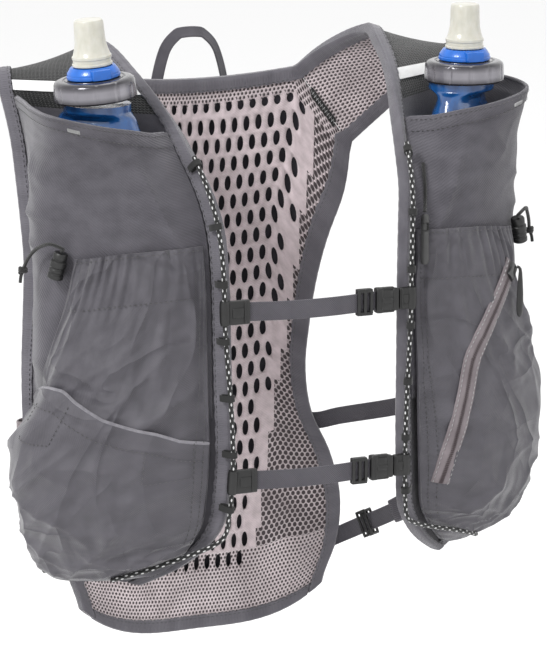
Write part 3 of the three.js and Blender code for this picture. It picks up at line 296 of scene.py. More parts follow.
def woven():
    """Plain weave: crossing waves of warp and weft, and slow mottling from noise."""
    g, i, o = group("woven", [("Cloth", "Vector", None), ("Thread", "Float", 0.9), ("Slant", "Float", 0.0),
                              ("Mottle size", "Float", 18.0)],
                    [("Height", "Float"), ("Mottle", "Float")])
    split = g.nodes.new("ShaderNodeSeparateXYZ")
    g.links.new(i.outputs["Cloth"], split.inputs[0])
    waves = []
    for k, other in ((0, 1), (1, 0)):
        slanted = calc(g, "MULTIPLY_ADD", split.outputs[other], i.outputs["Slant"], split.outputs[k])
        turn = calc(g, "DIVIDE", calc(g, "MULTIPLY", slanted, 2 * math.pi), i.outputs["Thread"])
        waves.append(calc(g, "SINE", turn))
    both = calc(g, "MULTIPLY_ADD", calc(g, "MULTIPLY", waves[0], waves[1]), 0.5, 0.5)
    noise = g.nodes.new("ShaderNodeTexNoise")
    noise.inputs["Detail"].default_value = 4
    g.links.new(i.outputs["Cloth"], noise.inputs["Vector"])
    g.links.new(calc(g, "DIVIDE", 1.0, i.outputs["Mottle size"]), noise.inputs["Scale"])
    g.links.new(both, o.inputs["Height"])
    g.links.new(noise.outputs["Fac"], o.inputs["Mottle"])
    return g


HOLES, WOVEN = oval_holes(), woven()


def finish(name, colour, rough=0.8, sheen=0.0, metal=0.0, coat=0.0, specular=0.5):
    """Material with its shader; returns the material, its node tree and the shader."""
    m = bpy.data.materials.new(name)
    m.use_nodes = True
    t = m.node_tree
    shader = t.nodes["Principled BSDF"]
    shader.inputs["Base Color"].default_value = (*colour, 1)
    shader.inputs["Roughness"].default_value = rough
    shader.inputs["Metallic"].default_value = metal
    shader.inputs["Sheen Weight"].default_value = sheen
    shader.inputs["Sheen Roughness"].default_value = 0.4
    shader.inputs["Coat Weight"].default_value = coat
    shader.inputs["Specular IOR Level"].default_value = specular
    m.diffuse_color = (*colour, 1)
    return m, t, shader


def cloth_vector(t):
    n = t.nodes.new("ShaderNodeUVMap")
    n.uv_map = "cloth"
    return n.outputs[0]


def placed_group(t, g, vector, **values):
    n = t.nodes.new("ShaderNodeGroup")
    n.node_tree = g
    t.links.new(vector, n.inputs[0])
    for k, x in values.items():
        n.inputs[k.replace("_", " ")].default_value = x
    return n


def mixed(t, share, a, b):
    """Colour between a and b by a share socket."""
    n = t.nodes.new("ShaderNodeMix")
    n.data_type = "RGBA"
    t.links.new(share, n.inputs["Factor"])
    for k, x in ((6, a), (7, b)):
        if isinstance(x, tuple):
            n.inputs[k].default_value = (*x, 1)
        else:
            t.links.new(x, n.inputs[k])
    return n.outputs[2]


def ranged(t, x, low, high, to_low, to_high):
    n = t.nodes.new("ShaderNodeMapRange")
    t.links.new(x, n.inputs[0])
    for k, v in enumerate((low, high, to_low, to_high)):
        n.inputs[k + 1].default_value = v
    return n.outputs[0]


def bump(t, height, shader, distance, under=None):
    n = t.nodes.new("ShaderNodeBump")
    n.inputs["Distance"].default_value = distance
    t.links.new(height, n.inputs["Height"])
    if under is not None:
        t.links.new(under, n.inputs["Normal"])
    t.links.new(n.outputs[0], shader.inputs["Normal"])
    return n.outputs[0]


def holed_finish(name, dark, light, hole, across, along_, oval, size, depth, rough, sheen):
    """Knitted mesh: staggered holes, darker inside and rounded over at their edges."""
    m, t, shader = finish(name, light, rough, sheen)
    cloth = cloth_vector(t)
    h = placed_group(t, HOLES, cloth, Pitch_across=across, Pitch_along=along_, Oval=oval, Size=size)
    w = placed_group(t, WOVEN, cloth, Thread=0.7, Slant=0.5, Mottle_size=25.0)
    shade = ranged(t, w.outputs["Mottle"], 0.3, 0.7, 0.2, 0.9)
    t.links.new(mixed(t, h.outputs["Mask"], mixed(t, shade, dark, light), hole), shader.inputs["Base Color"])
    height = calc(t, "MULTIPLY_ADD", w.outputs["Height"], 0.1, calc(t, "SUBTRACT", 1.0, h.outputs["Edge"]))
    bump(t, height, shader, depth)
    return m


COOL, WARM = (0, -2, 4), (6, -2, 0)
spacer = holed_finish("spacer_mesh", LINER_DARK, LINER_LIGHT, grey(58, WARM), 2.7, 2.9, 0.8, 0.58,
                      0.0012, 0.8, 0.35)
open_knit = holed_finish("diamond_mesh", LINER_DARK, LINER_LIGHT, grey(52, WARM), 3.9, 3.6, 0.7, 0.74,
                         0.0016, 0.8, 0.35)


def woven_finish(name, dark, light, thread=0.9, depth=0.0002, rough=0.8, sheen=0.25, slant=0.0, mottle=16.0,
                 wave=0.18, specular=0.4):
    """Woven cloth: thread waves in colour and bump, and slow light and dark mottling."""
    m, t, shader = finish(name, light, rough, sheen, specular=specular)
    w = placed_group(t, WOVEN, cloth_vector(t), Thread=thread, Slant=slant, Mottle_size=mottle)
    mottled = ranged(t, w.outputs["Mottle"], 0.3, 0.7, 0.25, 0.85)
    share = calc(t, "MULTIPLY_ADD", w.outputs["Height"], wave, mottled)
    t.links.new(mixed(t, share, dark, light), shader.inputs["Base Color"])
    bump(t, w.outputs["Height"], shader, depth)
    return m


knit = woven_finish("pierced_knit", grey(150, (6, -6, -4)), grey(205, (5, -9, -6)), 0.9, 0.0003, 0.8, 0.35,
                    slant=0.5, mottle=6.0, wave=0.35)


def as_sheet(p, held, rests_on, area=None):
    """Works out the area of a cloth piece's grid, unless one is given; nothing is kept of it."""
    step_u, step_v = np.diff(p, axis=0), np.diff(p, axis=1)
    if area is None:
        area = np.linalg.norm(np.cross(step_u[:, :-1], step_v[:-1]), axis=-1).sum() / 1e6


cells, back_faces = mesh_back()
s_at, x_at = cells[:, 0], cells[:, 1]
v_at = np.clip(x_at / back_half(s_at), -0.995, 0.995)
kept = [f for f in back_faces if not all(abs(x_at[i]) >= 0.995 * back_half(s_at[i]) for i in f)]
crumple = 1.2 * np.sin(x_at / 11 + 5 * s_at) * np.sin(31 * s_at + x_at / 17) \
    + 0.8 * np.sin(x_at / 5 + 23 * s_at) * step(s_at, 0.5, 0.8)
ripple = crumple * step(1 - np.abs(v_at), 0.02, 0.3) * step(s_at, 0.02, 0.1) * step(1 - s_at, 0.02, 0.1)
liner_uv = np.stack([x_at, s_at * BACK_LENGTH], -1)


def make(name, points, faces, finish, body="vest", node=(), slot=None, uv=None, side=1):
    """Mesh from points in millimetres and faces; side -1 mirrors it to the wearer's right."""
    points = np.asarray(points, float).reshape(-1, 3) * 0.001
    if side < 0:
        points = points * (-1, 1, 1)
        faces = [tuple(reversed(f)) for f in faces]
    mesh = bpy.data.meshes.new(name)
    mesh.from_pydata(points.tolist(), [], [tuple(map(int, f)) for f in faces])
    if uv is not None:
        layer = mesh.uv_layers.new(name="cloth")
        ends = np.zeros(len(mesh.loops), int)
        mesh.loops.foreach_get("vertex_index", ends)
        layer.data.foreach_set("uv", np.asarray(uv, float).reshape(-1, 2)[ends].ravel())
    mesh.shade_smooth()
    mesh.set_sharp_from_angle(angle=math.radians(35))
    mesh.materials.append(finish)
    piece = bpy.data.objects.new(name, mesh)
    bpy.context.scene.collection.objects.link(piece)
    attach(piece, body)
    for n in [node] if isinstance(node, str) else node:
        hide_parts(n)
    return piece


back = make("back_mesh", on_back(s_at, v_at, 1.0 + ripple), kept, spacer, node="back_liner", slot="liner",
            uv=liner_uv)
back.data.materials.append(open_knit)
back.data.materials.append(knit)
field = [abs(np.mean([x_at[i] for i in f])) for f in kept]
depth = [np.mean([s_at[i] for i in f]) for f in kept]
inside = [vent_field(d) * 1.02 for d in depth]
back.data.polygons.foreach_set("material_index", [0 if not 0.045 < d < 0.86 else 1 if a > b else 2
                                                  for a, b, d in zip(field, inside, depth)])
wall = back.modifiers.new("wall", "SOLIDIFY")
wall.thickness, wall.offset = 0.0016, 0
s, v = np.meshgrid(np.linspace(0.003, 0.997, 60), np.linspace(-0.99, 0.99, 50), indexing="ij")
as_sheet(on_back(s, v, 1.0), "stretched", ["neck_binding", "hem_binding"],
         sum(f.area for f in back.data.polygons))

# Outer cloth of the back: one plain dark woven layer that stands off the mesh. Its edges are sewn into the
# bindings together with the mesh's.
shell_cloth = woven_finish("back_cloth", grey(40, COOL), grey(60, COOL), 1.1, 0.00015, 0.75)
s, v = np.meshgrid(np.linspace(0.003, 0.997, 60), np.linspace(-0.99, 0.99, 50), indexing="ij")
full = 7 * np.minimum(2 * np.maximum(1 - np.abs(v) * 1.15, 0) * step(np.minimum(s, 1 - s), 0.02, 0.15), 1)
full = full + 0.8 * np.sin(9 * v + 7 * s) * np.sin(17 * s + 3 * v) * step(full, 0, 5)


def grid(rows, columns, start=0, close=False):
    """Quads over a grid of points numbered row by row; close joins the last column to the first."""
    i, j = np.meshgrid(np.arange(rows - 1), np.arange(columns if close else columns - 1), indexing="ij")
    k = (j + 1) % columns
    a, b = start + i * columns + j, start + i * columns + k
    return np.stack([a, b, b + columns, a + columns], -1).reshape(-1, 4)


def turned_out(points, faces):
    """Faces of a closed mesh, all reversed if it encloses a negative volume."""
    p = points[faces]
    volume = np.einsum("ij,ij->", p[:, 0], np.cross(p[:, 1], p[:, 2])) \
        + np.einsum("ij,ij->", p[:, 0], np.cross(p[:, 2], p[:, 3]))
    return faces if volume > 0 else faces[:, ::-1]


def slab(place, u, v, low, high):
    """Closed sheet between two heights over a grid: both faces and the rim between them."""
    u, v = np.broadcast_arrays(u, v)
    n, m = u.shape
    points = np.concatenate([place(u, v, low).reshape(-1, 3), place(u, v, high).reshape(-1, 3)])
    under = grid(n, m)
    over = under[:, ::-1] + n * m
    rim = np.concatenate([np.arange(m), np.arange(1, n) * m + m - 1,
                          n * m - 2 - np.arange(m - 1), np.arange(n - 2, 0, -1) * m])
    after = np.roll(rim, -1)
    walls = np.stack([rim, rim + n * m, after + n * m, after], -1)
    faces = np.concatenate([under, over, walls])
    return points, turned_out(points, faces)


points, faces = slab(on_back, s, v, 2.6 + full, 4.0 + full)
shell = make("back_cloth", points, faces, shell_cloth, node="back_shell", slot="cloth",
             uv=np.tile(np.stack([v * BACK_HALF, s * BACK_LENGTH], -1).reshape(-1, 2), (2, 1)))
as_sheet(on_back(s, v, 2.6 + full), "stretched", ["neck_binding", "hem_binding"])

# Front panels: taupe spacer mesh against the body, woven grey cloth outside it up to the shoulder, and
# black mesh over the shoulder, with a silver reflective band laid across where the cloth ends. Their edges
# are sewn into the bindings.


def distances(p):
    """Distance along a line of points, from 0 at the first of them."""
    return np.concatenate([[0], np.cumsum(np.linalg.norm(np.diff(p, axis=0), axis=1))])


def front_cloth(s, t):
    """Cloth coordinates in millimetres: across from the inner edge, and up along it."""
    s, t = np.broadcast_arrays(np.asarray(s, float), np.asarray(t, float))
    run = distances(edge(0, np.arange(22.0)))
    return np.stack([t * width_at(s), np.interp(s, np.arange(22.0), run)], -1)


def held_by(side):
    return ("left" if side > 0 else "right") + "_side_binding"


def front_slab(name, rows, low, high, cloth, side, node, slot, ends=(0.5, 0.5)):
    """Sheet on a front panel between two heights, ends being how far it stays in from both edges."""
    s, share = np.meshgrid(rows, np.linspace(0, 1, 26), indexing="ij")
    w = width_at(s)
    t = ends[0] / w + share * (1 - (ends[0] + ends[1]) / w)
    points, faces = slab(on_front, s, t, low, high)
    uv = np.tile(front_cloth(s, t).reshape(-1, 2), (2, 1))
    piece = make(name, points, faces, cloth, node=node, slot=slot, uv=uv, side=side)
    as_sheet(on_front(s, t, low), "stretched", ["neck_binding", held_by(side)])
    return piece


panel_cloth = woven_finish("panel_cloth", grey(63, COOL), grey(82, COOL), 1.0, 0.0002, 0.75)
shoulder_mesh = holed_finish("shoulder_mesh", grey(34), grey(58), grey(8), 2.6, 2.6, 0.8, 0.6, 0.001, 0.7,
                             0.2)
silver, t_silver, s_silver = finish("reflective", grey(226), 0.38, 0.0, 0.25)
weave = placed_group(t_silver, WOVEN, cloth_vector(t_silver), Thread=0.8, Mottle_size=10.0)
t_silver.links.new(mixed(t_silver, weave.outputs["Mottle"], grey(196), grey(240)),
                   s_silver.inputs["Base Color"])
bump(t_silver, weave.outputs["Height"], s_silver, 0.0001)
for side, name in SIDES:
    front_slab(name + "_liner", np.linspace(0.03, 20.97, 150), 0, LINER, spacer, side, name + "_front_liner",
               "liner")
    front_slab(name + "_panel", np.linspace(0.03, 12.3, 90), LINER + 0.3, SHEET, panel_cloth, side,
               name + "_front_panel", "cloth")
    front_slab(name + "_shoulder", np.linspace(12.3, 20.97, 70), LINER + 0.3, SHEET, shoulder_mesh, side,
               name + "_shoulder_mesh", "dark")
    front_slab(name + "_band", np.linspace(12.95, 13.4, 6), SHEET + 0.2, SHEET + 1.0, silver, side,
               name + "_reflective_band", "reflective", ends=(9.5, 9.5))

# Shoulder seams: the strap's end is sewn to the back's top edge, with dark tape over the join on the body
# side and zigzag thread in short slanted stitches on the tape.
black_tape = woven_finish("black_tape", grey(20), grey(40), 1.3, 0.0002, 0.8)
thread, _, _ = finish("thread", grey(150), 0.6, 0.3)
dark_thread, _, _ = finish("dark_thread", grey(62), 0.6, 0.3)


def stitches(at, along, out, length=2.2, thick=0.5):
    """Short threads, each a six-sided bead stretched along its seam: arrays of places and two directions."""
    at, along, out = (np.asarray(a, float).reshape(-1, 3) for a in (at, along, out))
    along, out = unit(along), unit(out)
    beside = np.cross(along, out)
    shape = np.array([[-1, 0, 0], [-0.5, 1, 0], [-0.5, 0, 1], [-0.5, -1, 0], [0.5, 1, 0], [0.5, 0, 1],
                      [0.5, -1, 0], [1, 0, 0]]) * (length / 2, thick / 2, thick)
    points = at[:, None] + along[:, None] * shape[None, :, :1] + beside[:, None] * shape[None, :, 1:2] \
        + out[:, None] * shape[None, :, 2:]
    cell = [(0, 2, 1), (0, 3, 2), (1, 2, 5, 4), (2, 3, 6, 5), (7, 4, 5), (7, 5, 6), (0, 1, 4, 7, 6, 3)]
    faces = [tuple(i + 8 * k for i in f) for k in range(len(at)) for f in cell]
    return points.reshape(-1, 3), faces


def seam_line(place, s, t, h=0.0, pitch=3.4, **size):
    """Stitches at an even pitch along a line (s, t) on a surface."""
    s, t = np.asarray(s, float), np.asarray(t, float)
    at = np.linspace(0, 1, 400)
    s, t = np.interp(at, np.linspace(0, 1, len(s)), s), np.interp(at, np.linspace(0, 1, len(t)), t)
    p = place(s, t, h)
    run = distances(p)
    marks = np.arange(pitch / 2, run[-1], pitch)
    s, t = np.interp(marks, run, s), np.interp(marks, run, t)
    p = np.stack([np.interp(marks, run, p[:, k]) for k in range(3)], -1)
    return stitches(p, np.gradient(p, axis=0), place(s, t, h + 1) - place(s, t, h), **size)


def over_seam(u, v, h):
    """Across the shoulder seam: v below 0 lies on the strap's end, above 0 on the back's top."""
    v3 = wide(v)
    strap = on_front(SEAM_ROW + np.minimum(v, 0) * 0.2, u, h)
    panel = on_back(np.maximum(v, 0) * 0.012, NECK_HALF / BACK_HALF * (1 - u) + u, h)
    return np.where(v3 < 0, strap, panel)


for side, name in SIDES:
    u, v = np.meshgrid(np.linspace(0.28, 0.72, 30), np.linspace(-1, 1, 7), indexing="ij")
    points, faces = slab(over_seam, u, v, -2.2, -1.4)
    make(name + "_seam_tape", points, faces, black_tape, node=name + "_shoulder_seam", slot="dark", side=side,
         uv=np.tile(np.stack([u * 60, v * 4], -1).reshape(-1, 2), (2, 1)))
    u = np.linspace(0.29, 0.71, 22)
    p = over_seam(u, np.where(np.arange(22) % 2, 0.45, -0.45), -2.4)
    inward = over_seam(u[1:], 0 * u[1:], -3.4) - p[1:]
    points, faces = stitches((p[1:] + p[:-1]) / 2, np.diff(p, axis=0), inward, length=3.2)
    make(name + "_seam_thread", points, faces, thread, slot="dark", side=side)

# Bindings: soft cloth tape folded over every raw edge and sewn through with one row of thread. One runs up
# a front panel, round the neck and down the other; one round each side; one along the hem.
binding_cloth = woven_finish("binding", grey(70, COOL), grey(100, COOL), 1.2, 0.0003, 0.85, 0.35, wave=0.25)
FOLD = [(9, -1.5), (4.5, -1.9), (0.2, -1.6), (-0.8, -0.8), (-1.2, 2), (-0.8, 4.9), (0.2, 5.8), (4.5, 6.2),
        (9, 5.8), (9.2, 4.6), (9.2, -0.4)]
NECK_SHARE = NECK_HALF / BACK_HALF
ROW_PITCH = 20  # millimetres counted for one row of a front panel where a rough figure will do
SEAM_IN, SEAM_HIGH = 7.4, 6.0  # the row of thread, from the edge and above the body side


def folded(place, s, t, ws, wt):
    """Rings of the folded tape along points (s, t); ws and wt turn millimetres inward into shares."""
    s, t, ws, wt = (wide(np.broadcast_to(a, np.shape(s)).astype(float)) for a in (s, t, ws, wt))
    w, h = np.array(FOLD).T
    pucker = 1 + 0.05 * np.sin(np.arange(len(s)) * 2.1)[:, None]
    return place(s + ws * w * pucker, t + wt * w * pucker, 2 + (h - 2) * (1 + 0.6 * (pucker - 1)))


def front_rings(s, far):
    w = width_at(s)
    return folded(on_front, s, np.full(len(s), float(far)), 0, (-1 if far else 1) / w)


def back_height(v):
    return np.linalg.norm(back_face(0, v) - back_face(1, v), axis=-1)


def corner(a, b):
    return ((a + b) / 2)[None]


def loft(rings):
    """Closed skin through rings of points, with flat fans over both ends."""
    rings = np.asarray(rings, float)
    n, m, _ = rings.shape
    points = np.concatenate([rings.reshape(-1, 3), rings[0].mean(0)[None], rings[-1].mean(0)[None]])
    faces = grid(n, m, close=True)
    j = np.arange(m)
    k = (j + 1) % m
    first = np.stack([k, j, np.full(m, n * m), np.full(m, n * m)], -1)
    last = np.stack([(n - 1) * m + j, (n - 1) * m + k, np.full(m, n * m + 1), np.full(m, n * m + 1)], -1)
    whole = turned_out(points, np.concatenate([faces, first, last]))
    return points, [tuple(dict.fromkeys(f)) for f in whole.tolist()]


def binding(name, rings, node, side=1):
    run = np.cumsum(np.linalg.norm(np.diff(rings.mean(1), axis=0, prepend=rings[:1].mean(1)), axis=1))
    points, faces = loft(rings)
    across = np.broadcast_to(np.array(FOLD)[:, 1] * 1.5, (len(rings), len(FOLD)))
    uv = np.stack([across, np.broadcast_to(run[:, None], across.shape)], -1).reshape(-1, 2)
    make(name, points, faces, binding_cloth, node=node, slot="binding", side=side,
         uv=np.concatenate([uv, uv[:1], uv[-1:]]))


up = front_rings(np.linspace(0, 20.9, 220), False)
v = np.linspace(NECK_SHARE - 0.02, -NECK_SHARE + 0.02, 60)
neck = folded(on_back, np.zeros(60), v, 1 / back_height(v), 0)
join = corner(up[-1], neck[0])
half = np.concatenate([up, join])
binding("neck_tape", np.concatenate([half, neck, (half * (-1, 1, 1))[::-1]]), "neck_binding")
for side, name in SIDES:
    t = np.linspace(9.8 / width_at(0), 1 - 9 / width_at(0), 24)
    bottom = folded(on_front, np.zeros(24), t, 1 / ROW_PITCH, 0)
    outer = front_rings(np.linspace(0.35, 20.8, 200), True)
    s = np.linspace(0.02, 1, 120)
    down = folded(on_back, s, np.ones(120), 0, -1 / back_half(s))
    whole = np.concatenate([bottom, corner(bottom[-1], outer[0]), outer, corner(outer[-1], down[0]), down])
    binding(name + "_side_tape", whole, name + "_side_binding", side)
v = np.linspace(-1 + 9.8 / back_half(1), 1 - 9.8 / back_half(1), 70)
binding("hem_tape", folded(on_back, np.ones(70), v, -1 / BACK_LENGTH, 0), "hem_binding")
edge_rows, back_rows = np.linspace(0.4, 20.8, 60), np.linspace(0.02, 0.98, 40)
edge_share = SEAM_IN / width_at(edge_rows)


def together(*parts):
    """Several meshes of points and faces as one."""
    points, faces, at = [], [], 0
    for p, f in parts:
        points.append(np.asarray(p, float).reshape(-1, 3))
        faces += [tuple(int(i) + at for i in face) for face in f]
        at += len(points[-1])
    return np.concatenate(points), faces


for side, name in SIDES:
    sewn = [seam_line(on_front, edge_rows, edge_share, SEAM_HIGH),
            seam_line(on_front, edge_rows, 1 - edge_share, SEAM_HIGH),
            seam_line(on_front, [0.37, 0.37], [0.1, 0.92], SEAM_HIGH),
            seam_line(on_back, back_rows, 1 - SEAM_IN / back_half(back_rows), -1.8),
            seam_line(on_back, [0.982, 0.982], [0, 0.92], -1.8),
            seam_line(on_back, [0.019, 0.019], [0, 0.63], -1.8)]
    make(name + "_edge_stitches", *together(*sewn), dark_thread, slot="binding", side=side)

# Rail cords: black round cord with white flecks, threaded through little cloth tabs sewn into the inner
# edge of each front panel. The lower end lies over the lower pocket.


def flecked(name, dark, light, across, along_):
    """Braided cord: light flecks over dark yarn and a fine braid in the bump."""
    m, t, shader = finish(name, dark, 0.7, 0.2)
    cloth = cloth_vector(t)
    h = placed_group(t, HOLES, cloth, Pitch_across=across, Pitch_along=along_, Oval=0.55, Size=0.34)
    w = placed_group(t, WOVEN, cloth, Thread=0.8, Slant=1.0, Mottle_size=6.0)
    t.links.new(mixed(t, h.outputs["Mask"], dark, light), shader.inputs["Base Color"])
    bump(t, w.outputs["Height"], shader, 0.0002)
    return m


flecks = flecked("rail_cord", grey(20), grey(205), 3.4, 3.6)


def carried(path, profile, wide_axis, scale=None):
    """Profile of (across, through) pairs carried along a path, its first axis along wide_axis."""
    path = np.asarray(path, float)
    along = unit(np.gradient(path, axis=0))
    axis = np.broadcast_to(np.asarray(wide_axis, float), path.shape)
    thin = unit(np.cross(along, axis))
    flat = np.cross(thin, along)
    k = np.ones(len(path)) if scale is None else np.asarray(scale, float)
    profile = np.asarray(profile, float)
    return path[:, None] + (flat[:, None] * profile[None, :, :1] + thin[:, None] * profile[None, :, 1:]) \
        * k[:, None, None]


def round_profile(r, sides=10):
    turn = np.arange(sides) * 2 * np.pi / sides
    return np.stack([r * np.cos(turn), r * np.sin(turn)], -1)


def tube(path, r, sides=10):
    """Round cord along a path."""
    path = np.asarray(path, float)
    along = unit(np.gradient(path, axis=0))
    lean = np.array([0.31, 0.23, 0.92])
    axis = np.where(wide(np.abs(along @ lean)) > 0.98, [1.0, 0, 0], lean)
    return loft(carried(path, round_profile(r, sides), axis))


def cord_mesh(path, r, sides=10):
    """Round cord with cloth coordinates round it and along it."""
    points, faces = tube(path, r, sides)
    run = distances(path)
    round_it = np.abs(np.arange(sides) - sides / 2) * 2 * math.pi * r / sides
    uv = np.stack(np.broadcast_arrays(round_it[None], run[:, None]), -1).reshape(-1, 2)
    return points, faces, np.concatenate([uv, uv[:1], uv[-1:]])


RAIL_HEIGHT, RAIL_OUT, RAIL_RADIUS = 8.1, 4.4, 1.6


def rail_point(s):
    """Middle of the rail cord at row s, beside the panel's inner edge."""
    s = np.asarray(s, float)
    at = on_front(s, 0, RAIL_HEIGHT)
    along = unit(on_front(s + 0.1, 0, RAIL_HEIGHT) - on_front(s - 0.1, 0, RAIL_HEIGHT))
    normal = on_front(s, 0, RAIL_HEIGHT + 1) - at
    return at - RAIL_OUT * unit(np.cross(along, normal))


rows_fine = np.linspace(0, 12, 2000)
heights_fine = rail_point(rows_fine)[:, 2]


def row_at(height):
    """Row at which the rail cord is at a height."""
    return np.interp(height, heights_fine, rows_fine)


chest_in, chest_out = edge(0, 7.0), edge(3, 7.0)
CHEST_U = unit((chest_out - chest_in) * (1, 1, 0))
CHEST_N = np.array([CHEST_U[1], -CHEST_U[0], 0])


def pocket_face(height, seat, lean=None):
    """Wall of a stuffed pocket: a line between the bindings pushed out of the chest by height(s, t)."""
    def face(s, t):
        s, t = np.broadcast_arrays(np.asarray(s, float), np.asarray(t, float))
        e = 11 / width_at(s)
        start, end = on_front(s, e, seat), on_front(s, 1 - e, seat)
        lift = np.maximum(smooth(ROWS[:, 6], s), 0) * 4 * t * (1 - t)
        shift = 0 if lean is None else dome(t) * lean(s)
        return start + (end - start) * wide(t) + CHEST_N * wide(height(s, t) + lift) - CHEST_U * wide(shift)
    return face


def dome(t):
    """Share of a pocket's depth across it, steeper at its outer edge."""
    x = np.array([0, 0.08, 0.2, 0.35, 0.5, 0.63, 0.74, 0.84, 0.92, 1])
    y = np.array([0, 0.33, 0.64, 0.86, 0.97, 1, 0.93, 0.69, 0.34, 0])
    i = np.interp(np.clip(t, 0, 1), x, np.arange(10.0))
    return np.maximum(smooth(y, i), 0)


def row_table(pairs):
    """Smooth function through (row, value) pairs at uneven rows."""
    x, y = np.array(pairs, float).T
    return lambda s: smooth(y, np.interp(s, x, np.arange(len(x), dtype=float)))


flask_bulge = row_table([(5.4, 0), (5.8, 0.6), (6.4, 0.95), (8, 1), (9, 1), (10, 1.03), (11, 1.12),
                         (12, 1.25),
                         (13, 1.3)])
lower_bulge = row_table([(0, 0.03), (0.5, 0.14), (1, 0.28), (2, 0.54), (3, 0.74), (4, 0.89), (5, 0.97),
                         (6, 1.01),
                         (7, 1), (8, 0.935), (9, 0.86)])
lower_border = row_table([(0, 1), (4, 1), (5, 0.93), (6, 0.74), (7, 0.62), (8, 0.53), (9, 0.48)])


FLASK_DEPTH, LOWER_DEPTH = 51, 62  # how far the pockets stand out at their fullest


def flask_rise(s, t):
    return FLASK_DEPTH * flask_bulge(s) * dome(t)


def lower_rise(s, t):
    full = LOWER_DEPTH * lower_bulge(s) * dome(t)
    down = np.clip(s - 5, 0, 1) * step(t / lower_border(s), 0.75, 1)
    over = flask_rise(s, t) + 2.5
    return np.maximum(full, over) * (1 - down) + over * down


lower_face = pocket_face(lower_rise, 7.2)
on_lower_wall = above(lambda s, t: lower_face(s, t * lower_border(s)))


def curve_through(points, count):
    """Even steps along a smooth line through a few points."""
    points = np.asarray(points, float)
    at = np.linspace(0, len(points) - 1, 40 * len(points))
    line = np.stack([smooth(points[:, k], at) for k in range(3)], -1)
    run = distances(line)
    return np.stack([np.interp(np.linspace(0, run[-1], count), run, line[:, k]) for k in range(3)], -1)


def strap_profile(width, thickness):
    """Flat webbing section with rounded edges and slightly raised selvedges."""
    w, t = width / 2, thickness / 2
    half = [(-w, 0), (-w + 0.35 * t, 0.75 * t), (-w + 1.1, t), (-w + 1.6, 0.8 * t), (-w / 3, 0.8 * t)]
    top = half + [(-x, y) for x, y in half[::-1]]
    return np.array(top + [(x, -y) for x, y in top[::-1][1:-1]])


for side, name in SIDES:
    rest = 4.3 if side > 0 else 7.0
    tail = [on_lower_wall(1.35 + 0.25 * k, 0.3 - 0.1 * k, rest) for k in range(3)]
    up_edge = list(rail_point(np.linspace(3.3, 11, 11)))
    path = curve_through(tail + [rail_point(2.5) + (0, -1.5, 1)] + up_edge, 300)
    points, faces, uv = cord_mesh(path, RAIL_RADIUS, 12)
    make(name + "_rail", points, faces, flecks, node=name + "_rail_cord", slot="cord", uv=uv, side=side)
    loops = []
    for height in (-284.8, -247.2, -209.5, -171.8, -134.2, -96.5, -58.8):
        s = row_at(height)
        z = unit(rail_point(s + 0.1) - rail_point(s - 0.1))
        y = unit(on_front(s, 0, RAIL_HEIGHT + 1) - on_front(s, 0, RAIL_HEIGHT))
        x = np.cross(y, z)
        across = np.array([(-7.5, 0.6), (-4, 2.0), (-1, 2.5), (1.3, 2.2), (2.5, 0), (1.3, -2.2), (-1, -2.5),
                           (-4, -2.2), (-7.5, -1.8)])
        line = curve_through([rail_point(s) + x * a + y * b for a, b in across], 40)
        loops.append(loft(carried(line, strap_profile(4.4, 0.8), z)))
    make(name + "_rail_tabs", *together(*loops), black_tape, slot="binding", side=side)

# Flask pockets: one soft woven cloth wall over each flask, sewn down beside the bindings, hemmed at the
# mouth, pleated where it narrows to the inner edge and drawn into folds by the flask's weight.
flask_lean = row_table([(9, 0), (10, 0.12), (11, 0.42), (12, 0.75), (13, 0.85)])
flask_face = pocket_face(flask_rise, 4.9, lambda s: flask_lean(s) * FLASK_DEPTH)
on_flask_wall = above(flask_face)
FLASK_FOOT = 5.45  # row of the wall's lower edge


def creased(material, depth, size):
    """Adds loose creases to a woven finish: ridges where two slow noises cross their middle value."""
    t = material.node_tree
    shader = t.nodes["Principled BSDF"]
    under = shader.inputs["Normal"].links[0].from_socket
    total = None
    for k, (across, along_) in enumerate(((1.0, 0.45), (0.5, 1.0))):
        stretch = t.nodes.new("ShaderNodeVectorMath")
        stretch.operation = "MULTIPLY"
        stretch.inputs[1].default_value = (across / size, along_ / size, 1)
        t.links.new(cloth_vector(t), stretch.inputs[0])
        noise = t.nodes.new("ShaderNodeTexNoise")
        noise.noise_dimensions = "4D"
        noise.inputs["W"].default_value = 3.7 * k + 1
        noise.inputs["Scale"].default_value = 1.0
        noise.inputs["Detail"].default_value = 2.5
        noise.inputs["Distortion"].default_value = 0.7
        t.links.new(stretch.outputs[0], noise.inputs["Vector"])
        ridge = calc(t, "ABSOLUTE", calc(t, "MULTIPLY_ADD", noise.outputs["Fac"], 5.0, -2.5))
        ridge = calc(t, "POWER", calc(t, "SUBTRACT", 1.0, calc(t, "MINIMUM", ridge, 1.0)), 1.6)
        total = ridge if total is None else calc(t, "ADD", total, ridge)
    bump(t, total, shader, depth, under=under)
    return material


stretch_cloth = woven_finish("stretch_cloth", grey(50, COOL), grey(80, COOL), 1.1, 0.0003, 0.7, 0.3,
                             slant=0.35,
                             mottle=11.0, wave=0.35)
pocket_cloth = creased(woven_finish("pocket_cloth", grey(54, COOL), grey(78, COOL), 0.9, 0.00018, 0.55, 0.25,
                                    mottle=9.0, wave=0.12, specular=0.5), 0.0036, 36.0)


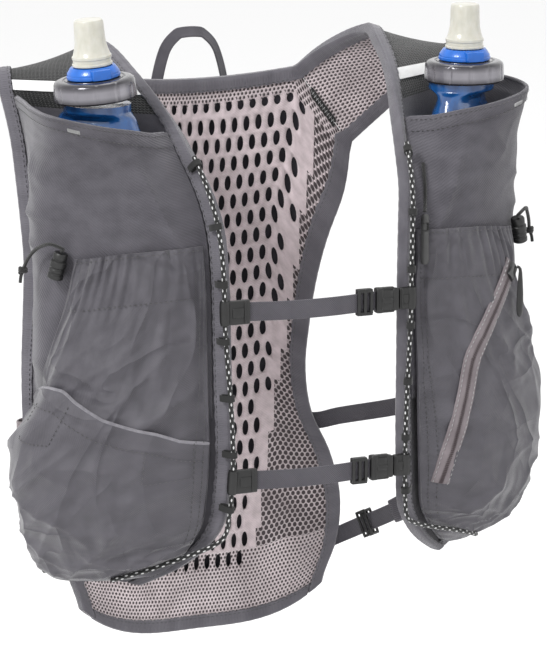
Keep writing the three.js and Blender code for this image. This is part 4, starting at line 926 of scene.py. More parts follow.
def folds(s, t, seed, amount=1.0):
    """Loose folds: a few slanted waves, each alive only in patches, plus small creases between them."""
    rng = np.random.default_rng(seed)
    total = np.zeros(np.broadcast(s, t).shape)
    for k in range(7):
        slant, pitch, phase = rng.uniform(-1.3, 1.3), rng.uniform(1.2, 3.2), rng.uniform(0, 6.28)
        patch = np.sin(rng.uniform(0.5, 1.1) * s + phase) * np.cos(rng.uniform(3, 6) * t + 2 * phase)
        wave = np.sin(pitch * (s * 1.2 + 6 * slant * t) + phase + 0.5 * np.sin(2.3 * s + 5 * t))
        total = total + (1 - np.abs(wave)) ** 2.2 * step(patch, -0.1, 0.7) * rng.uniform(0.8, 1.7)
    for k in range(5):
        a, b, phase = rng.uniform(2, 5), rng.uniform(8, 20), rng.uniform(0, 6.28)
        total = total + 0.22 * np.sin(a * s + b * t + phase) * np.sin(0.9 * a * s - 0.7 * b * t)
    return amount * total


def wall(name, place, bottom, top, low, thick, lift, cloth, side, node, held="stretched", size=(110, 90)):
    """Cloth wall between two row lines of t, with lift(s, t) millimetres of folds."""
    share, t = np.meshgrid(np.linspace(0, 1, size[0]), np.linspace(0, 1, size[1]), indexing="ij")
    s = bottom(t) + (top(t) - bottom(t)) * share
    raised = low + lift(s, t, share)
    points, faces = slab(place, s, t, raised, raised + thick)
    uv = np.stack([t * 96, ROW_PITCH * s], -1).reshape(-1, 2)
    piece = make(name, points, faces, cloth, node=node, slot="pocket", uv=np.tile(uv, (2, 1)), side=side)
    as_sheet(place(s, t, raised), held, ["neck_binding", held_by(side)])


def line_table(pairs):
    """Smooth row line across a pocket through (t, row) pairs."""
    x, y = np.array(pairs, float).T
    return lambda t: smooth(y, np.interp(t, x, np.arange(len(x), dtype=float)))


flask_rim = line_table([(0, 11.7), (0.2, 12.05), (0.5, 12.45), (0.75, 12.75), (0.9, 12.8), (1, 12.7)])
for side, name in SIDES:
    seed = 3 if side > 0 else 8

    def flask_folds(s, t, share):
        fall = step(1 - share, 0.0, 0.35) * step(t, 0, 0.12) * step(1 - t, 0, 0.12)
        pleat = 3.4 * (1 - np.abs(np.sin((t + 0.05 * (12 - s)) * 13))) ** 3 * step(0.34 - t, 0, 0.16) \
            * step(s, 8.5, 9.2) * step(11.6 - s, 0, 1.2)
        hem = 0.8 * step(share, 0.925, 0.94)
        return folds(s, t, seed, 0.8) * fall + pleat * step(t, 0.01, 0.07) + hem

    wall(name + "_flask_wall", on_flask_wall, lambda t: np.full(np.shape(t), FLASK_FOOT), flask_rim, 0, 1.3,
         flask_folds,
         stretch_cloth, side, name + "_flask_pocket")
    t = np.linspace(0.02, 0.98, 60)
    rim = flask_rim(t)
    sewn = [seam_line(on_flask_wall, rim - 0.42, t, 2.25), seam_line(on_flask_wall, rim - 0.1, t, 2.25)]
    make(name + "_flask_rim_stitches", *together(*sewn), dark_thread, slot="pocket", side=side)
    points, faces = tube(on_flask_wall(rim, t, 0.9), 1.15, 10)
    make(name + "_flask_rim_roll", points, faces, binding_cloth, slot="binding", side=side,
         uv=np.outer(np.arange(len(points)), (0.7, 0.3)))
    tack = 0.55 + 0.035 * np.linspace(-1, 1, 14)
    at = on_flask_wall(flask_rim(tack) - 0.32, tack, 2.2)
    up_way = on_flask_wall(flask_rim(tack), tack, 2.2) - at
    out_way = on_flask_wall(flask_rim(tack) - 0.3, tack, 3.2) - at
    make(name + "_bar_tack", *stitches(at, up_way, out_way, length=3.0, thick=0.7), thread, slot="pocket",
         side=side)

# Lower pockets: a zipped one on the wearer's left; on the right one drawn in by a cord at its mouth, with
# a stash pocket over it. All three are one soft woven cloth, sewn down round their edges but for the
# mouth and a free outer edge.
lower_hem = line_table([(0, 8.8), (0.5, 8.75), (1, 8.6)])
stash_rim = line_table([(0, 5), (0.18, 5.35), (0.41, 5.65), (0.56, 5.9), (0.74, 6.15), (1, 6)])


def gathered(seed, amount):
    """Lift of a lower pocket's wall: ruffles at the mouth, a channel for the cord, and loose folds below."""
    def lift(s, t, share):
        edges = step(t, 0, 0.1) * step(1 - t, 0, 0.1)
        ruffle = np.sin(78 * t + 1.5 * np.sin(9 * t)) + 0.6 * np.sin(47 * t + 2)
        mouth = 0.9 * ruffle * step(share, 0.8, 0.93)
        channel = 0.9 * np.sin(np.clip((share - 0.87) / 0.12, 0, 1) * math.pi)
        drawn = np.maximum(np.sin(30 * t + 3 * np.sin(5 * t) + seed), 0) ** 2
        below = 2.0 * drawn * step(share, 0.55, 0.85) * step(0.9 - share, 0, 0.1)
        loose = folds(s, t, seed, amount) * step(share, 0.02, 0.15) * step(1 - share, 0.1, 0.3)
        return (mouth * 0.8 + below + loose) * edges + channel
    return lift


def lower_start(t):
    return np.full(np.shape(t), 0.6)


wall("zip_wall", on_lower_wall, lower_start, lower_hem, 0, 1.4, gathered(11, 1.6), pocket_cloth, 1,
     "left_zip_pocket", "gathered", (150, 110))
wall("cinch_wall", on_lower_wall, lower_start, lower_hem, 0, 1.4, gathered(5, 1.6), pocket_cloth, -1,
     "right_cinch_pocket", "gathered", (150, 110))


def stash_start(t):
    return np.full(np.shape(t), 1.0)


def stash_folds(s, t, share):
    edges = step(t, 0, 0.1) * step(1 - t, 0, 0.1) * step(share, 0, 0.15) * step(1 - share, 0.0, 0.25)
    return folds(s, t, 21, 2.1) * edges + 0.6 * step(share, 0.955, 0.965)


wall("stash_wall", on_lower_wall, stash_start, stash_rim, 3.5, 1.5, stash_folds, pocket_cloth, -1,
     "right_stash_pocket", size=(120, 110))
piping_cloth = woven_finish("piping", grey(104, COOL), grey(136, COOL), 1.0, 0.0002, 0.8)
t = np.linspace(0.005, 0.995, 80)
points, faces = tube(on_lower_wall(stash_rim(t), t, 4.6), 1.25, 10)
make("stash_piping", points, faces, piping_cloth, slot="binding", side=-1,
     uv=np.outer(np.arange(len(points)), (0.7, 0.3)))
for side, name in SIDES:
    t = np.linspace(0.03, 0.97, 60)
    sewn = [seam_line(on_lower_wall, lower_hem(t) - 0.08, t, 2.4),
            seam_line(on_lower_wall, lower_hem(t) - 1.05, t, 2.1)]
    sewn += [seam_line(on_lower_wall, np.linspace(1, 8.4, 30), np.full(30, share), 2.3 if side > 0 else 5.4)
             for share in (0.035, 0.055)]
    if side < 0:
        sewn.append(seam_line(on_lower_wall, stash_rim(t) - 0.35, t, 5.8))
        for a, b, c, d in ((0.62, 0.8, 5.2, 5.9), (0.06, 0.2, 4.4, 5.1)):
            sewn += [seam_line(on_lower_wall, rows, ends, 5.9) for rows, ends in
                     (([c, d], [a, a]), ([c, d], [b, b]), ([c, c], [a, b]))]
    make(name + "_pocket_stitches", *together(*sewn), dark_thread, slot="pocket", side=side)

# Zip: a pinkish woven tape sewn down the pocket in a curve, with black coil teeth, a dark metal slider and
# a long pull, which is a moulded tab on a thin cord.
zip_cloth = woven_finish("zip_tape", grey(92, (6, -2, 1)), grey(122, (6, -2, 1)), 1.0, 0.0002, 0.8, 0.3)
plastic = woven_finish("black_plastic", grey(20), grey(30), 2.2, 0.00004, 0.42, 0.0, mottle=5.0, wave=0.1,
                       specular=0.5)
metal, _, _ = finish("dark_metal", grey(90), 0.35, 0.0, 0.9)
coil, _, _ = finish("zip_coil", grey(78, (6, -2, 0)), 0.45)
ZIP = np.array([(7.85, 0.75), (7.1, 0.46), (6.3, 0.25), (5.4, 0.145), (4.5, 0.09), (3.6, 0.06)])


def on_zip(u, v, h):
    """u along the zip in route points, v millimetres across it."""
    u, v = np.broadcast_arrays(np.asarray(u, float), np.asarray(v, float))
    s, t = smooth(ZIP[:, 0], u), smooth(ZIP[:, 1], u)
    wide_mm = (width_at(s) - 22) * lower_border(s)
    ds = (smooth(ZIP[:, 0], u + 0.02) - smooth(ZIP[:, 0], u - 0.02)) * ROW_PITCH
    dt = (smooth(ZIP[:, 1], u + 0.02) - smooth(ZIP[:, 1], u - 0.02)) * wide_mm
    run = np.sqrt(ds * ds + dt * dt)

    def across(x):
        return on_lower_wall(s + x * dt / run / ROW_PITCH, t - x * ds / run / wide_mm, h)

    stretch = np.linalg.norm(across(3.0) - across(-3.0), axis=-1) / 6
    return across(v / stretch)


u, v = np.meshgrid(np.linspace(0.02, 4.98, 90), np.linspace(-6.5, 6.5, 9), indexing="ij")
crown = 3.0 - 0.9 * (np.abs(v) / 6.5) ** 3
points, faces = slab(on_zip, u, v, crown, crown + 0.8)
make("zip_band", points, faces, zip_cloth, node="zip_tape", slot="zip",
     uv=np.tile(np.stack([v, u * 36], -1).reshape(-1, 2), (2, 1)))
mark = np.linspace(0.06, 4.94, 120)
at = on_zip(mark, 0, 4.0)
teeth = stitches(at, on_zip(mark, 1, 4.0) - at, on_zip(mark, 0, 5.0) - at, length=3.4, thick=1.0)
make("zip_teeth", *teeth, coil, slot="zip")
sewn = [seam_line(on_zip, np.linspace(0.05, 4.95, 40), np.full(40, across), 3.6) for across in (5.2, -5.2)]
make("zip_stitches", *together(*sewn), thread, slot="zip")
u, v = np.meshgrid(np.linspace(0.05, 0.4, 12), np.linspace(-4, 4, 12), indexing="ij")
round_off = np.sqrt(np.clip(1.15 - (v / 4.3) ** 4 - ((u - 0.225) / 0.19) ** 6, 0.02, 1))
points, faces = slab(on_zip, u, v * (0.75 + 0.25 * np.abs(u - 0.225) / 0.175), 4.4, 4.9 + 2.6 * round_off)
make("zip_slider_body", points, faces, metal, node="zip_slider", slot="plastic",
     uv=np.zeros((len(points), 2)))
hang = [on_zip(0.12, 0, 8.2), on_zip(0.04, 0, 10.2) + (0, 0, -3), on_zip(0.02, 0, 10.5) + (0, 0, -10),
        on_zip(0.02, 0, 10.5) + (0, 0, -16)]
pull_top = on_zip(0.02, 0, 10.6)
side_way = unit(on_zip(0.02, 1, 10.6) - pull_top) * (1, 1, 0)
pull_path = [pull_top + (0, 0, z) for z in (-3, -6, -12, -20, -27, -32, -35, -36.5)]
points, faces = loft(carried(pull_path, round_profile(3.1, 16) * (1, 0.55), side_way,
                             [0.3, 0.55, 0.75, 0.95, 1, 0.95, 0.75, 0.3]))
loop_points, loop_faces, _ = cord_mesh(curve_through(hang, 30), 1.0, 8)
points, faces = together((points, faces), (loop_points, loop_faces))
make("zip_pull_tab", points, faces, plastic, node="zip_pull", slot="plastic", uv=points[:, [0, 2]])

# Soft flasks: clear blue film squeezed by the pockets, with a screw cap, a shut-off collar with a lever,
# and a milky bite valve. Collar and valve turn together on the cap.
blue, t_blue, s_blue = finish("blue_film", grey(70), 0.22, 0.0, 0.0, 0.6, 0.6)
film = placed_group(t_blue, WOVEN, cloth_vector(t_blue), Thread=2.0, Mottle_size=14.0)
t_blue.links.new(mixed(t_blue, ranged(t_blue, film.outputs["Mottle"], 0.3, 0.7, 0, 1), (0.005, 0.035, 0.13),
                       (0.008, 0.09, 0.29)), s_blue.inputs["Base Color"])
bump(t_blue, film.outputs["Mottle"], s_blue, 0.0012)
cap_grey, t_cap, s_cap = finish("cap_painted_highlight", grey(120, COOL), 0.24, 0.0, 0.6, 0.5)
grain = placed_group(t_cap, WOVEN, cloth_vector(t_cap), Thread=0.7, Mottle_size=9.0)
up_cap = t_cap.nodes.new("ShaderNodeSeparateXYZ")
t_cap.links.new(cloth_vector(t_cap), up_cap.inputs[0])
# Painted highlight on the cap: its colour runs from dark at the lower and upper rims to light round its
# middle, a painted reflected band, with a little mottling added.
painted_highlight_band = calc(t_cap, "SINE", calc(t_cap, "MULTIPLY", up_cap.outputs[1], math.pi / 13))
painted_highlight_band = calc(t_cap, "MULTIPLY_ADD", grain.outputs["Mottle"], 0.25, calc(t_cap, "MULTIPLY", painted_highlight_band, painted_highlight_band))
t_cap.links.new(mixed(t_cap, painted_highlight_band, grey(34, COOL), grey(128, COOL)), s_cap.inputs["Base Color"])
bump(t_cap, grain.outputs["Height"], s_cap, 0.00003)
blue_plastic = woven_finish("blue_plastic", (0.004, 0.08, 0.36), (0.006, 0.12, 0.5), 2.0, 0.00003, 0.25, 0.0,
                            mottle=5.0, wave=0.1, specular=0.6)
milky, t_milky, s_milky = finish("clear_silicone", (0.5, 0.49, 0.44), 0.3, 0.0, 0.0, 0.25, 0.5)
s_milky.inputs["Subsurface Weight"].default_value = 0.5
s_milky.inputs["Subsurface Radius"].default_value = (0.006, 0.005, 0.004)
clouds = placed_group(t_milky, WOVEN, cloth_vector(t_milky), Thread=1.6, Mottle_size=7.0)
t_milky.links.new(mixed(t_milky, ranged(t_milky, clouds.outputs["Mottle"], 0.3, 0.7, 0, 1),
                        (0.44, 0.43, 0.37),
                        (0.50, 0.49, 0.44)), s_milky.inputs["Base Color"])
FLASK_X, FLASK_Y, CAP_LOW = 130.756, -81.861, -21.0
FLASK_WIDE, FLASK_THIN, FLASK_NECK, FLASK_TALL = 45, 21, 22, 160  # half width, half depth, radius, height
turn_by = math.radians(-9)
turn_z = np.array([[math.cos(turn_by), -math.sin(turn_by), 0], [math.sin(turn_by), math.cos(turn_by), 0],
                   [0, 0, 1]])
WIDE_WAY, THIN_WAY = turn_z @ CHEST_U, turn_z @ CHEST_N
body_rows = np.array([(0, 0.45, 0.3, 0), (0.03, 0.72, 0.66, 0), (0.12, 0.93, 0.93, 0), (0.3, 1, 1, 0),
                      (0.7, 0.9, 0.96, 0), (0.86, 0.72, 0.82, 0), (0.96, 0.58, 0.62, 0.3),
                      (0.975, 0.49, 1.0, 1),
                      (1, 0.49, 1.0, 1)])
height = np.concatenate([np.linspace(0, 0.95, 70), np.linspace(0.955, 0.998, 14)])
at = np.interp(height, body_rows[:, 0], np.arange(9.0))
angle = np.arange(64) * 2 * math.pi / 64
a, b = np.cos(angle), np.sin(angle)
dents = 1 + 0.012 * np.sin(height[:, None] * 23 + 2 * np.sin(angle)) * np.sin(3 * angle)[None] \
    * (height[:, None] < 0.93)
wide_mm = smooth(body_rows[:, 1], at)[:, None] * FLASK_WIDE * a * dents
thin_mm = smooth(body_rows[:, 2], at)[:, None] * FLASK_THIN * b * dents
round_share = step(height, 0.94, 0.975)[:, None]
wide_mm = wide_mm * (1 - round_share) + FLASK_NECK * a * round_share
thin_mm = (thin_mm - 2) * (1 - round_share) + (FLASK_NECK * b - 2) * round_share
rings = np.array([FLASK_X, FLASK_Y, 0]) + WIDE_WAY * wide(wide_mm) + THIN_WAY * wide(thin_mm)
rings[..., 2] = CAP_LOW - FLASK_TALL + height[:, None] * (FLASK_TALL - 0.4)
points, faces = loft(rings)
ring_uv = np.stack(np.broadcast_arrays(angle[None] * 30, height[:, None] * FLASK_TALL), -1).reshape(-1, 2)
for side, name in SIDES:
    make(name + "_flask_film", points, faces, blue, node=name + "_flask", slot="blue", side=side,
         uv=np.concatenate([ring_uv, ring_uv[:1], ring_uv[-1:]]))


def skin_uv(points):
    """Cloth coordinates round a turned shape and up it."""
    p = np.asarray(points, float).reshape(-1, 3)
    return np.stack([np.abs(np.arctan2(p[:, 1], p[:, 0])) * 20, p[:, 2]], -1)


def turned(profile, sides):
    """Rings of a shape turned about Z, from (radius, height) pairs."""
    profile = np.asarray(profile, float)
    turn = np.arange(sides) * 2 * np.pi / sides
    rings = np.stack([profile[:, None, 0] * np.cos(turn), profile[:, None, 0] * np.sin(turn),
                      np.broadcast_to(profile[:, None, 1], (len(profile), sides))], -1)
    return rings


def ringed(profile, sides, notch=None):
    """Closed turned shape; notch(turn, z) is the share that each point is drawn in by."""
    rings = turned(profile, sides)
    if notch is not None:
        turn = np.arange(sides) * 2 * math.pi / sides
        rings[..., :2] *= 1 - notch(turn, np.array(profile, float)[:, 1])[..., None]
    return loft(rings)


def cap_notches(turn, z):
    """Twelve grip notches round the cap."""
    deep = np.exp(-((np.cos(turn * 6) / 0.16) ** 2))[None] * 0.035
    return deep * (step(z, 1.0, 2.5) * step(11.5 - z, 0, 1.5))[:, None]


cap_profile = [(0.5, 0), (24.5, 0), (26.2, 0.3), (27, 1.4), (26.9, 3), (26.8, 6), (26.6, 9), (26.5, 11),
               (26.0, 12.4),
               (24.6, 13.5), (22.8, 14), (20.6, 14), (19.8, 13.4), (19.2, 13.4), (18.9, 14), (0.5, 14)]
collar_profile = [(0.5, 14.4), (16.9, 14.4), (17.5, 14.9), (17.5, 16.4), (17.1, 16.9), (17.1, 17.6),
                  (16.9, 18.4),
                  (15.6, 20.2), (14.9, 21.3), (14.3, 21.9), (0.5, 21.9)]
valve_profile = [(0.5, 22.3), (12.6, 22.3), (13.1, 22.8), (13.1, 23.8), (12.5, 24.4), (12.4, 26.5),
                 (12.9, 27.2),
                 (12.9, 28.6), (12.2, 29.3), (11.0, 33), (10.2, 37), (9.9, 42), (9.8, 48), (9.6, 50.5),
                 (9.0, 51.8),
                 (7.6, 52.3), (0.5, 52.1)]
LEVER = [(-6.5, -2.8), (-6, -3.4), (0, -3.6), (6, -3.4), (6.5, -2.8), (6.5, 2.8), (6, 3.4), (0, 3.6),
         (-6, 3.4),
         (-6.5, 2.8)]


def valve_pinch(turn, z):
    """Four shallow dents in the upper half of the bite valve."""
    return 0.05 * np.cos(2 * turn)[None] ** 8 * (step(z, 34, 40) * step(52 - z, 0, 4))[:, None]


for side, name in SIDES:
    tilt = 0 if side > 0 else math.radians(-5)
    lean = np.array([[math.cos(tilt), 0, math.sin(tilt)], [0, 1, 0], [-math.sin(tilt), 0, math.cos(tilt)]])
    seat = np.array([side * FLASK_X, FLASK_Y, CAP_LOW + (0 if side > 0 else 2.353)])

    def stand(mesh):
        return mesh[0] @ lean.T + seat, mesh[1]

    raw = ringed(cap_profile, 180, cap_notches)
    make(name + "_cap", *stand(raw), cap_grey, node=name + "_flask_cap", slot="cap", uv=skin_uv(raw[0]))
    lever = loft([[(x * k, -12.5 - 6.2 * f, 18 + y * k) for x, y in LEVER]
                  for f, k in ((0, 1), (0.6, 1), (0.92, 0.97), (1, 0.88))])
    raw = together(ringed(collar_profile, 72), lever)
    make(name + "_collar", *stand(raw), blue_plastic, body=name + "_valve", node=name + "_valve_collar",
         slot="blue", uv=skin_uv(raw[0]))
    raw = ringed(valve_profile, 64, valve_pinch)
    make(name + "_valve_tip", *stand(raw), milky, body=name + "_valve", node=name + "_bite_valve",
         slot="valve", uv=skin_uv(raw[0]))

# Chest straps, upper and lower: ribbed webbing between two black clips that slide on the rail cords, with
# a side-release buckle and a glide that takes up the slack.
webbing = woven_finish("webbing", grey(46, COOL), grey(80, COOL), 1.5, 0.0004, 0.7, 0.3, mottle=30.0,
                       wave=0.5)


def ribbon(path, width, thickness, axis):
    """Webbing along a path, with cloth coordinates along and across it."""
    profile = strap_profile(width, thickness)
    points, faces = loft(carried(path, profile, axis))
    run = distances(path)
    uv = np.stack(np.broadcast_arrays(profile[None, :, 0], run[:, None]), -1).reshape(-1, 2)
    return points, faces, np.concatenate([uv, uv[:1], uv[-1:]])


def merged(piece):
    """Joins the edges of rounded blocks so that each is closed."""
    weld = piece.modifiers.new("weld", "WELD")
    weld.merge_threshold = 0.00001
    return piece


def hard(name, parts, node, side=1, cloth=plastic, slot="plastic"):
    """Piece of several closed parts, black plastic unless another finish is given."""
    points, faces = together(*parts)
    return merged(make(name, points, faces, cloth, node=node, slot=slot, side=side,
                       uv=points[:, [0, 2]] + points[:, [1, 1]] * (0.5, 0)))


UP = np.array([0, 0, 1.0])
WEB_WIDTH = 12.7


def block(size, centre=(0, 0, 0), round_by=0.8, axes=np.eye(3)):
    """Box with rounded edges: a cube grid pushed to a rounded box, then placed by three axes."""
    side = np.array([-1, -0.9, -0.6, 0.6, 0.9, 1])
    n = len(side)
    points, faces = [], []
    for axis in range(3):
        for sign in (-1, 1):
            a, b = np.meshgrid(side, side, indexing="ij")
            p = np.zeros((n, n, 3))
            p[..., axis], p[..., (axis + 1) % 3], p[..., (axis + 2) % 3] = sign, a, b
            f = grid(n, n, start=len(points) * n * n)
            faces.append(f if sign > 0 else f[:, ::-1])
            points.append(p.reshape(-1, 3))
    p = np.concatenate(points)
    half = np.asarray(size, float) / 2
    core = np.maximum(half - round_by, 0.02)
    q = np.sign(p) * np.where(np.abs(p) > 0.65, core, core * np.abs(p))
    out = np.where(np.abs(p) > 0.95, 1.0, np.where(np.abs(p) > 0.8, 0.5, 0.0)) * np.sign(p)
    q = q + unit(out) * round_by
    q = np.clip(q, -half, half)
    return q @ np.asarray(axes, float) + np.asarray(centre, float), np.concatenate(faces)[:, ::-1]


for level, row_height in (("upper", -153), ("lower", -266)):
    s = row_at(row_height)
    rail = rail_point(s)
    along_rail = unit(rail_point(s + 0.1) - rail_point(s - 0.1))
    web_box = [np.array(c) * 1000 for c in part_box(level + "_web")]
    start, end = web_box[0][0], web_box[1][0]
    y, z = rail[1], rail[2]
    web_path = curve_through([(start, y, z), (start + (end - start) * 0.33, y - 1.5, z - 1),
                              (start + (end - start) * 0.66, y - 1.5, z - 1), (end, y, z)], 60)
    points, faces, uv = ribbon(web_path, WEB_WIDTH, 1.5, UP)
    make(level + "_strap", points, faces, webbing, node=level + "_web", slot="webbing", uv=uv)
    for place_name, flip in (("left", 1), ("right", -1)):
        tall, length = (14.5, 9) if flip > 0 else (16, 17)
        grip = loft(carried([rail * (flip, 1, 1) + along_rail * (flip, 1, 1) * d for d in
                             np.linspace(-tall / 2, tall / 2, 9)], round_profile(3.5, 20), (1, 0, 0),
                            [0.85, 0.97, 1, 1, 1, 1, 1, 0.97, 0.85]))
        arm_x = flip * rail[0] - flip * length / 2
        parts = [grip, block((length, 4.2, tall), (arm_x, y, z), 1.1),
                 block((length * 0.5, 5.4, tall * 0.45), (arm_x, y - 0.2, z), 1.3),
                 block((1.6, 5.2, tall * 0.92), (arm_x - flip * length * 0.28, y - 0.2, z), 0.7)]
        hard(level + "_" + place_name + "_clip", parts, level + "_" + place_name + "_hook")
    box = [np.array(c) * 1000 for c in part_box(level + "_web_buckle")]
    x0, x1 = box[0][0], box[1][0]
    middle = (x0 + x1) / 2
    parts = [block((x1 - x0 - 5, 6.4, 14.4), (middle - 1.5, y, z), 1.8),
             block((5.5, 6.6, 17), (x0 + 3.2, y, z), 1.5), block((5, 6, 15), (x1 - 2.6, y, z), 1.4),
             block((8.5, 7.4, 4.6), (middle, y - 0.2, z), 1.6)]
    parts += [block((x1 - x0 - 6, 4.4, 2.2), (middle, y, z + k * 7.4), 1.0) for k in (-1, 1)]
    parts += [block((1.1, 7.0, 12), (x0 + 2 + 2.1 * k, y - 0.1, z), 0.5) for k in range(2)]
    hard(level + "_buckle", parts, level + "_web_buckle")
    box = [np.array(c) * 1000 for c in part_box(level + "_web_glide")]
    gx, gy, gz = (box[0] + box[1]) / 2
    parts = [block((11, 1.5, 2.2), (gx, gy - 1.6, gz + k * 7.4), 0.7) for k in (-1, 1)]
    parts += [block((11, 1.5, 2.2), (gx, gy + 1.6, gz + k * 7.4), 0.7) for k in (-1, 1)]
    parts += [block((2.4, 2.0, 15.5), (gx + k * 4.4, gy - 1.9, gz), 0.9) for k in (-1, 0, 1)]
    parts += [block((2.0, 1.6, 15.5), (gx + k * 4.4, gy + 1.9, gz), 0.7) for k in (-1, 1)]
    parts += [block((11, 4.6, 1.6), (gx, gy, gz + k * 8.1), 0.7) for k in (-1, 1)]
    hard(level + "_glide", parts, level + "_web_glide")

# Side straps: thin webbing from the back's edge to the inside of each front panel. The lower ones carry a
# black slider, and the left one a cloth keeper for its tail.
for side, name in SIDES:
    for level, b, f in (("upper", 0.63, 4.7), ("lower", 0.9, 2.4)):
        rim, lip = on_back(b, 1.0, 6.6), on_front(f, 1.0, -2.2)
        path = curve_through([on_back(b, 1 - 16 / back_half(b), 8.2), rim + (1.5, 0.5, 0),
                              rim + (lip - rim) * 0.15 + (7, 3, 0), rim + (lip - rim) * 0.5 + (7, 0, 0),
                              lip + (rim - lip) * 0.1 + (1, 0, 0), on_front(f, 1 - 10 / width_at(f), -2.6)],
                              90)
        points, faces, uv = ribbon(path, WEB_WIDTH, 1.4, UP)
        make(name + "_" + level + "_side_web", points, faces, webbing,
             node=name + "_" + level + "_side_strap",
             slot="webbing", uv=uv, side=side)
        if level == "lower":
            holders = [(0.34, 10, 1.8, name + "_side_slider", "plastic")]
            if side > 0:
                holders.append((0.6, 15, 1.0, "left_strap_keeper", "webbing"))
            for share, length, room, node, slot in holders:
                k = int(share * 89)
                x = unit(path[k + 1] - path[k - 1])
                thin = unit(np.cross(UP, x))
                frame_axes = np.array([x, thin, np.cross(x, thin)])
                tall, deep = 14.3 + 2 * room, 3 + 2 * room
                half_tall, half_deep = tall / 2, deep / 2

                def bars(size, places, round_by):
                    return [block(size, path[k] + frame_axes.T @ np.array(p), round_by, frame_axes)
                            for p in places]

                if slot == "plastic":
                    parts = bars((length, 1.3, 2.2), [(0, a * half_deep, c * half_tall)
                                                      for a in (-1, 1) for c in (-1, 1)], 0.6)
                    parts += bars((2.2, 1.6, tall), [(a * length * 0.4, c * half_deep, 0)
                                                     for a in (-1, 0, 1) for c in (-1, 1)], 0.7)
                    parts += bars((length, deep, 1.5), [(0, 0, c * half_tall) for c in (-1, 1)], 0.6)
                    hard(node + "_frame", parts, node, side)
                else:
                    parts = bars((length, 1.2, tall), [(0, a * half_deep, 0) for a in (-1, 1)], 0.5)
                    parts += bars((length, deep, 1.0), [(0, 0, c * half_tall) for c in (-1, 1)], 0.4)
                    hard(node + "_cloth", parts, node, side, cloth=webbing, slot="webbing")

# Cord locks at the mouths of the lower pockets: a ribbed plastic barrel with a button, and the drawcord's
# tail, which curls from its top to a knot.
cord_black = woven_finish("cord", grey(14), grey(40), 0.9, 0.0003, 0.75, slant=1.0)
row = 8.45
point = on_flask_wall(row, 0.58, 7.4)
lock_z = unit(on_flask_wall(8.85, 0.55, 7.4) - point)
lock_y = unit(np.cross(lock_z, point - on_flask_wall(row, 0.58, 1.9)))
lock_x = np.cross(lock_y, lock_z)
lock_axes = np.array([lock_x, lock_y, lock_z])
for side, name in SIDES:
    profile = [(0.3, -9), (4.4, -9), (5.2, -8.4), (5.3, -6), (4.7, -5.4), (4.7, -4.6), (5.2, -4),
               (5.2, -2.6), (4.7, -2),
               (4.7, -1.2), (5.3, -0.6), (5.4, 2.8), (4.9, 3.4), (4.2, 3.8), (4.2, 4.6), (4.7, 5), (4.7, 8),
               (4.1, 8.9), (0.3, 9)]
    barrel = loft(turned(profile, 40))
    hard(name + "_cord_lock", [(barrel[0] @ lock_axes + point, barrel[1])], name + "_cinch_lock", side)
    path = curve_through([point + np.array(o) @ lock_axes for o in
                          ((0, 0, 10), (2, -1, 12.4), (4, 8, 12.4), (2, 17, 5.4), (1, 22, -3.6),
                           (0, 24, -12.6))], 90)
    length = np.linalg.norm(np.diff(path, axis=0), axis=1).sum() / 1000
    points, faces, uv = cord_mesh(path, 1.2, 12)
    tail = make(name + "_drawcord", points, faces, cord_black, node=name + "_cinch_cord", slot="cord", uv=uv,
                side=side)
    turn = np.linspace(0, 4 * math.pi, 60)
    coil_path = path[-1] + np.stack([1.9 * np.cos(turn), 1.9 * np.sin(turn),
                                     3.2 * (turn / (4 * math.pi) - 0.5)], -1)
    ends = [path[-1] + np.array(o) for o in ((0.5, 0, -1), (1.6, -0.5, -4), (2.2, -0.6, -8))]
    points, faces = together(tube(coil_path, 1.3, 10), tube(curve_through(ends, 12), 1.1, 8))
    knot = make(name + "_knot", points, faces, cord_black, slot="cord", side=side, uv=points[:, [0, 2]])
    flip = (side * 0.001, 0.001, 0.001)

# Whistle: a slim dark grey plastic tube with a slot, hung inside the left pocket's front edge on a thin
# cord that is sewn in above it.
low_row, high_row = row_at(-133), row_at(-100)
whistle_grey = woven_finish("whistle_plastic", grey(56), grey(70), 2.0, 0.00003, 0.4, 0.0, mottle=6.0,
                            wave=0.1)


def whistle_place(s, w, h):
    return on_lower_wall(s, 0.045 + w / width_at(s), h + 5.3)


s = np.linspace(low_row, high_row, 34)
turn = np.arange(24) * 2 * math.pi / 24
share = np.linspace(0, 1, 34)
taper = np.minimum(1, np.minimum((share + 0.03) * 12, (1.03 - share) * 12)) ** 0.5
slot_dip = (np.abs(share - 0.72) < 0.07)[:, None] * (np.abs(turn - math.pi / 2) < 0.8)[None]
rings = whistle_place(s[:, None], 4.3 * np.cos(turn) * taper[:, None], 2.5 * np.sin(turn) * taper[:, None]
                      - 1.6 * slot_dip)
points, faces = loft(rings)
whistle = make("whistle_tube", points, faces, whistle_grey, node="whistle", slot="plastic",
               uv=points[:, [0, 2]])
path = curve_through([whistle_place(high_row, 0, 0) + (0, 0, 1.6)]
                     + [on_flask_wall(high_row + up, 0.045, 3.5) for up in (0.35, 0.8, 1.3)], 50)[::-1]
length = np.linalg.norm(np.diff(path, axis=0), axis=1).sum() / 1000
points, faces, uv = cord_mesh(path, 1.2, 10)
cord = make("whistle_line", points, faces, cord_black, node="whistle_cord", slot="cord", uv=uv)

# Loops on the right side edge: a taupe webbing loop, and a flecked cord loop below it. Both are sewn to the
# edge by their ends.


def beyond_edge(s, w, h):
    return on_front(s, 1 + np.asarray(w, float) / width_at(s), h)


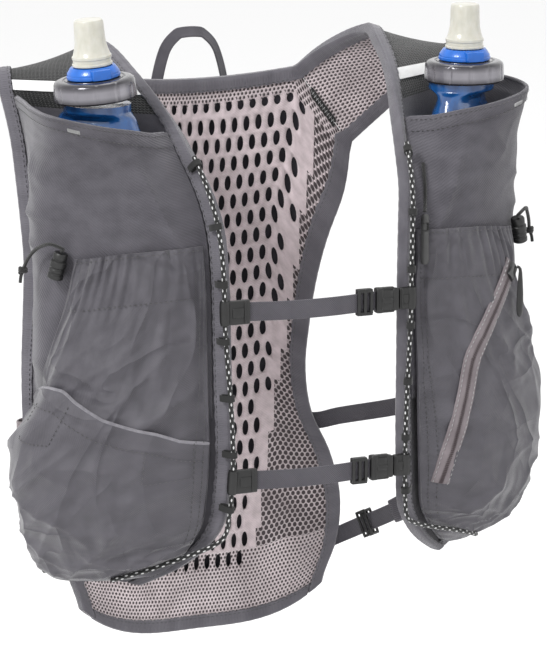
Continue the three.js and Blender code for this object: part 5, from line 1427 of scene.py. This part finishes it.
taupe = woven_finish("taupe_web", grey(98, WARM), grey(128, WARM), 1.4, 0.0003, 0.8)
path = curve_through([beyond_edge(4.9, w, h) for w, h in
                      ((-6, -2.6), (2.5, -3.6), (6.5, 2.05), (2.5, 8), (-6, 7))], 40)
points, faces, uv = ribbon(path, 12, 1.4, UP)
make("side_web_loop", points, faces, taupe, node="right_side_loop", slot="webbing", uv=uv, side=-1)
path = curve_through([beyond_edge(s, w + 1.2, 3) for s, w in zip((3.3, 3.2, 2.9, 2.5, 2.1, 1.9),
                                                                  (1.2, 4, 6, 6.5, 5, 2.4))], 60)
length = np.linalg.norm(np.diff(path, axis=0), axis=1).sum() / 1000
points, faces, uv = cord_mesh(path, 1.2, 10)
cord = make("side_cord_loop", points, faces, flecks, node="right_cord_loop", slot="cord", uv=uv, side=-1)
flip = (-0.001, 0.001, 0.001)

# Hang loop: a strip of dark woven tape bent to an arch that stands up behind the neck, with both ends sewn
# to the back.
half = [(1, -52), (0.97, -38), (0.74, -17), (0.42, -7), (0.2, -5)]
route = [(-26 * a, 100.9, z) for a, z in half] + [(26 * a, 100.9, z) for a, z in half[::-1]]
line = curve_through(route, 80)
spread = unit((line - (0, 100.9, -40)) * (1, 0, 1)) * 0.75 + (0, 0.65, 0)
points, faces, uv = ribbon(line, 9, 1.4, spread)
make("hang_tape", points, faces, woven_finish("hang_tape", grey(50, COOL), grey(76, COOL), 1.2, 0.0003, 0.75),
     node="hang_loop", slot="dark", uv=uv)

# Studio: a pale floor below the vest, which is held up in its worn form, and broad soft lamps: two in front
# to the sides, one above and a weak one low in front.
floor_finish, _, _ = finish("floor", (0.82, 0.82, 0.82), 0.9)
floor_mesh = bpy.data.meshes.new("floor")
floor_mesh.from_pydata([(-9, -9, -0.62), (9, -9, -0.62), (9, 9, -0.62), (-9, 9, -0.62)], [], [(0, 1, 2, 3)])
floor_mesh.materials.append(floor_finish)
floor = bpy.data.objects.new("floor", floor_mesh)
bpy.context.scene.collection.objects.link(floor)
world = bpy.data.worlds.new("studio")
bpy.context.scene.world = world
world.use_nodes = True
world.node_tree.nodes["Background"].inputs[0].default_value = (1, 1, 1, 1)
world.node_tree.nodes["Background"].inputs[1].default_value = 1.12
bpy.context.scene.view_settings.view_transform = "Standard"
for label, place, power, size in (("key", (-1.9, -1.0, 1.6), 52, 0.6), ("fill", (1.9, -1.2, 0.5), 5, 1.4),
                                  ("top", (0.2, 0.6, 2.0), 16, 1.2), ("low", (-0.3, -2.2, -0.6), 2, 1.5)):
    lamp = bpy.data.lights.new(label, "AREA")
    lamp.energy, lamp.size = power, size
    light = bpy.data.objects.new(label, lamp)
    bpy.context.scene.collection.objects.link(light)
    light.location = place
    light.rotation_mode = "QUATERNION"
    light.rotation_quaternion = (Vector((0, 0, -0.2)) - Vector(place)).to_track_quat("-Z", "Y")
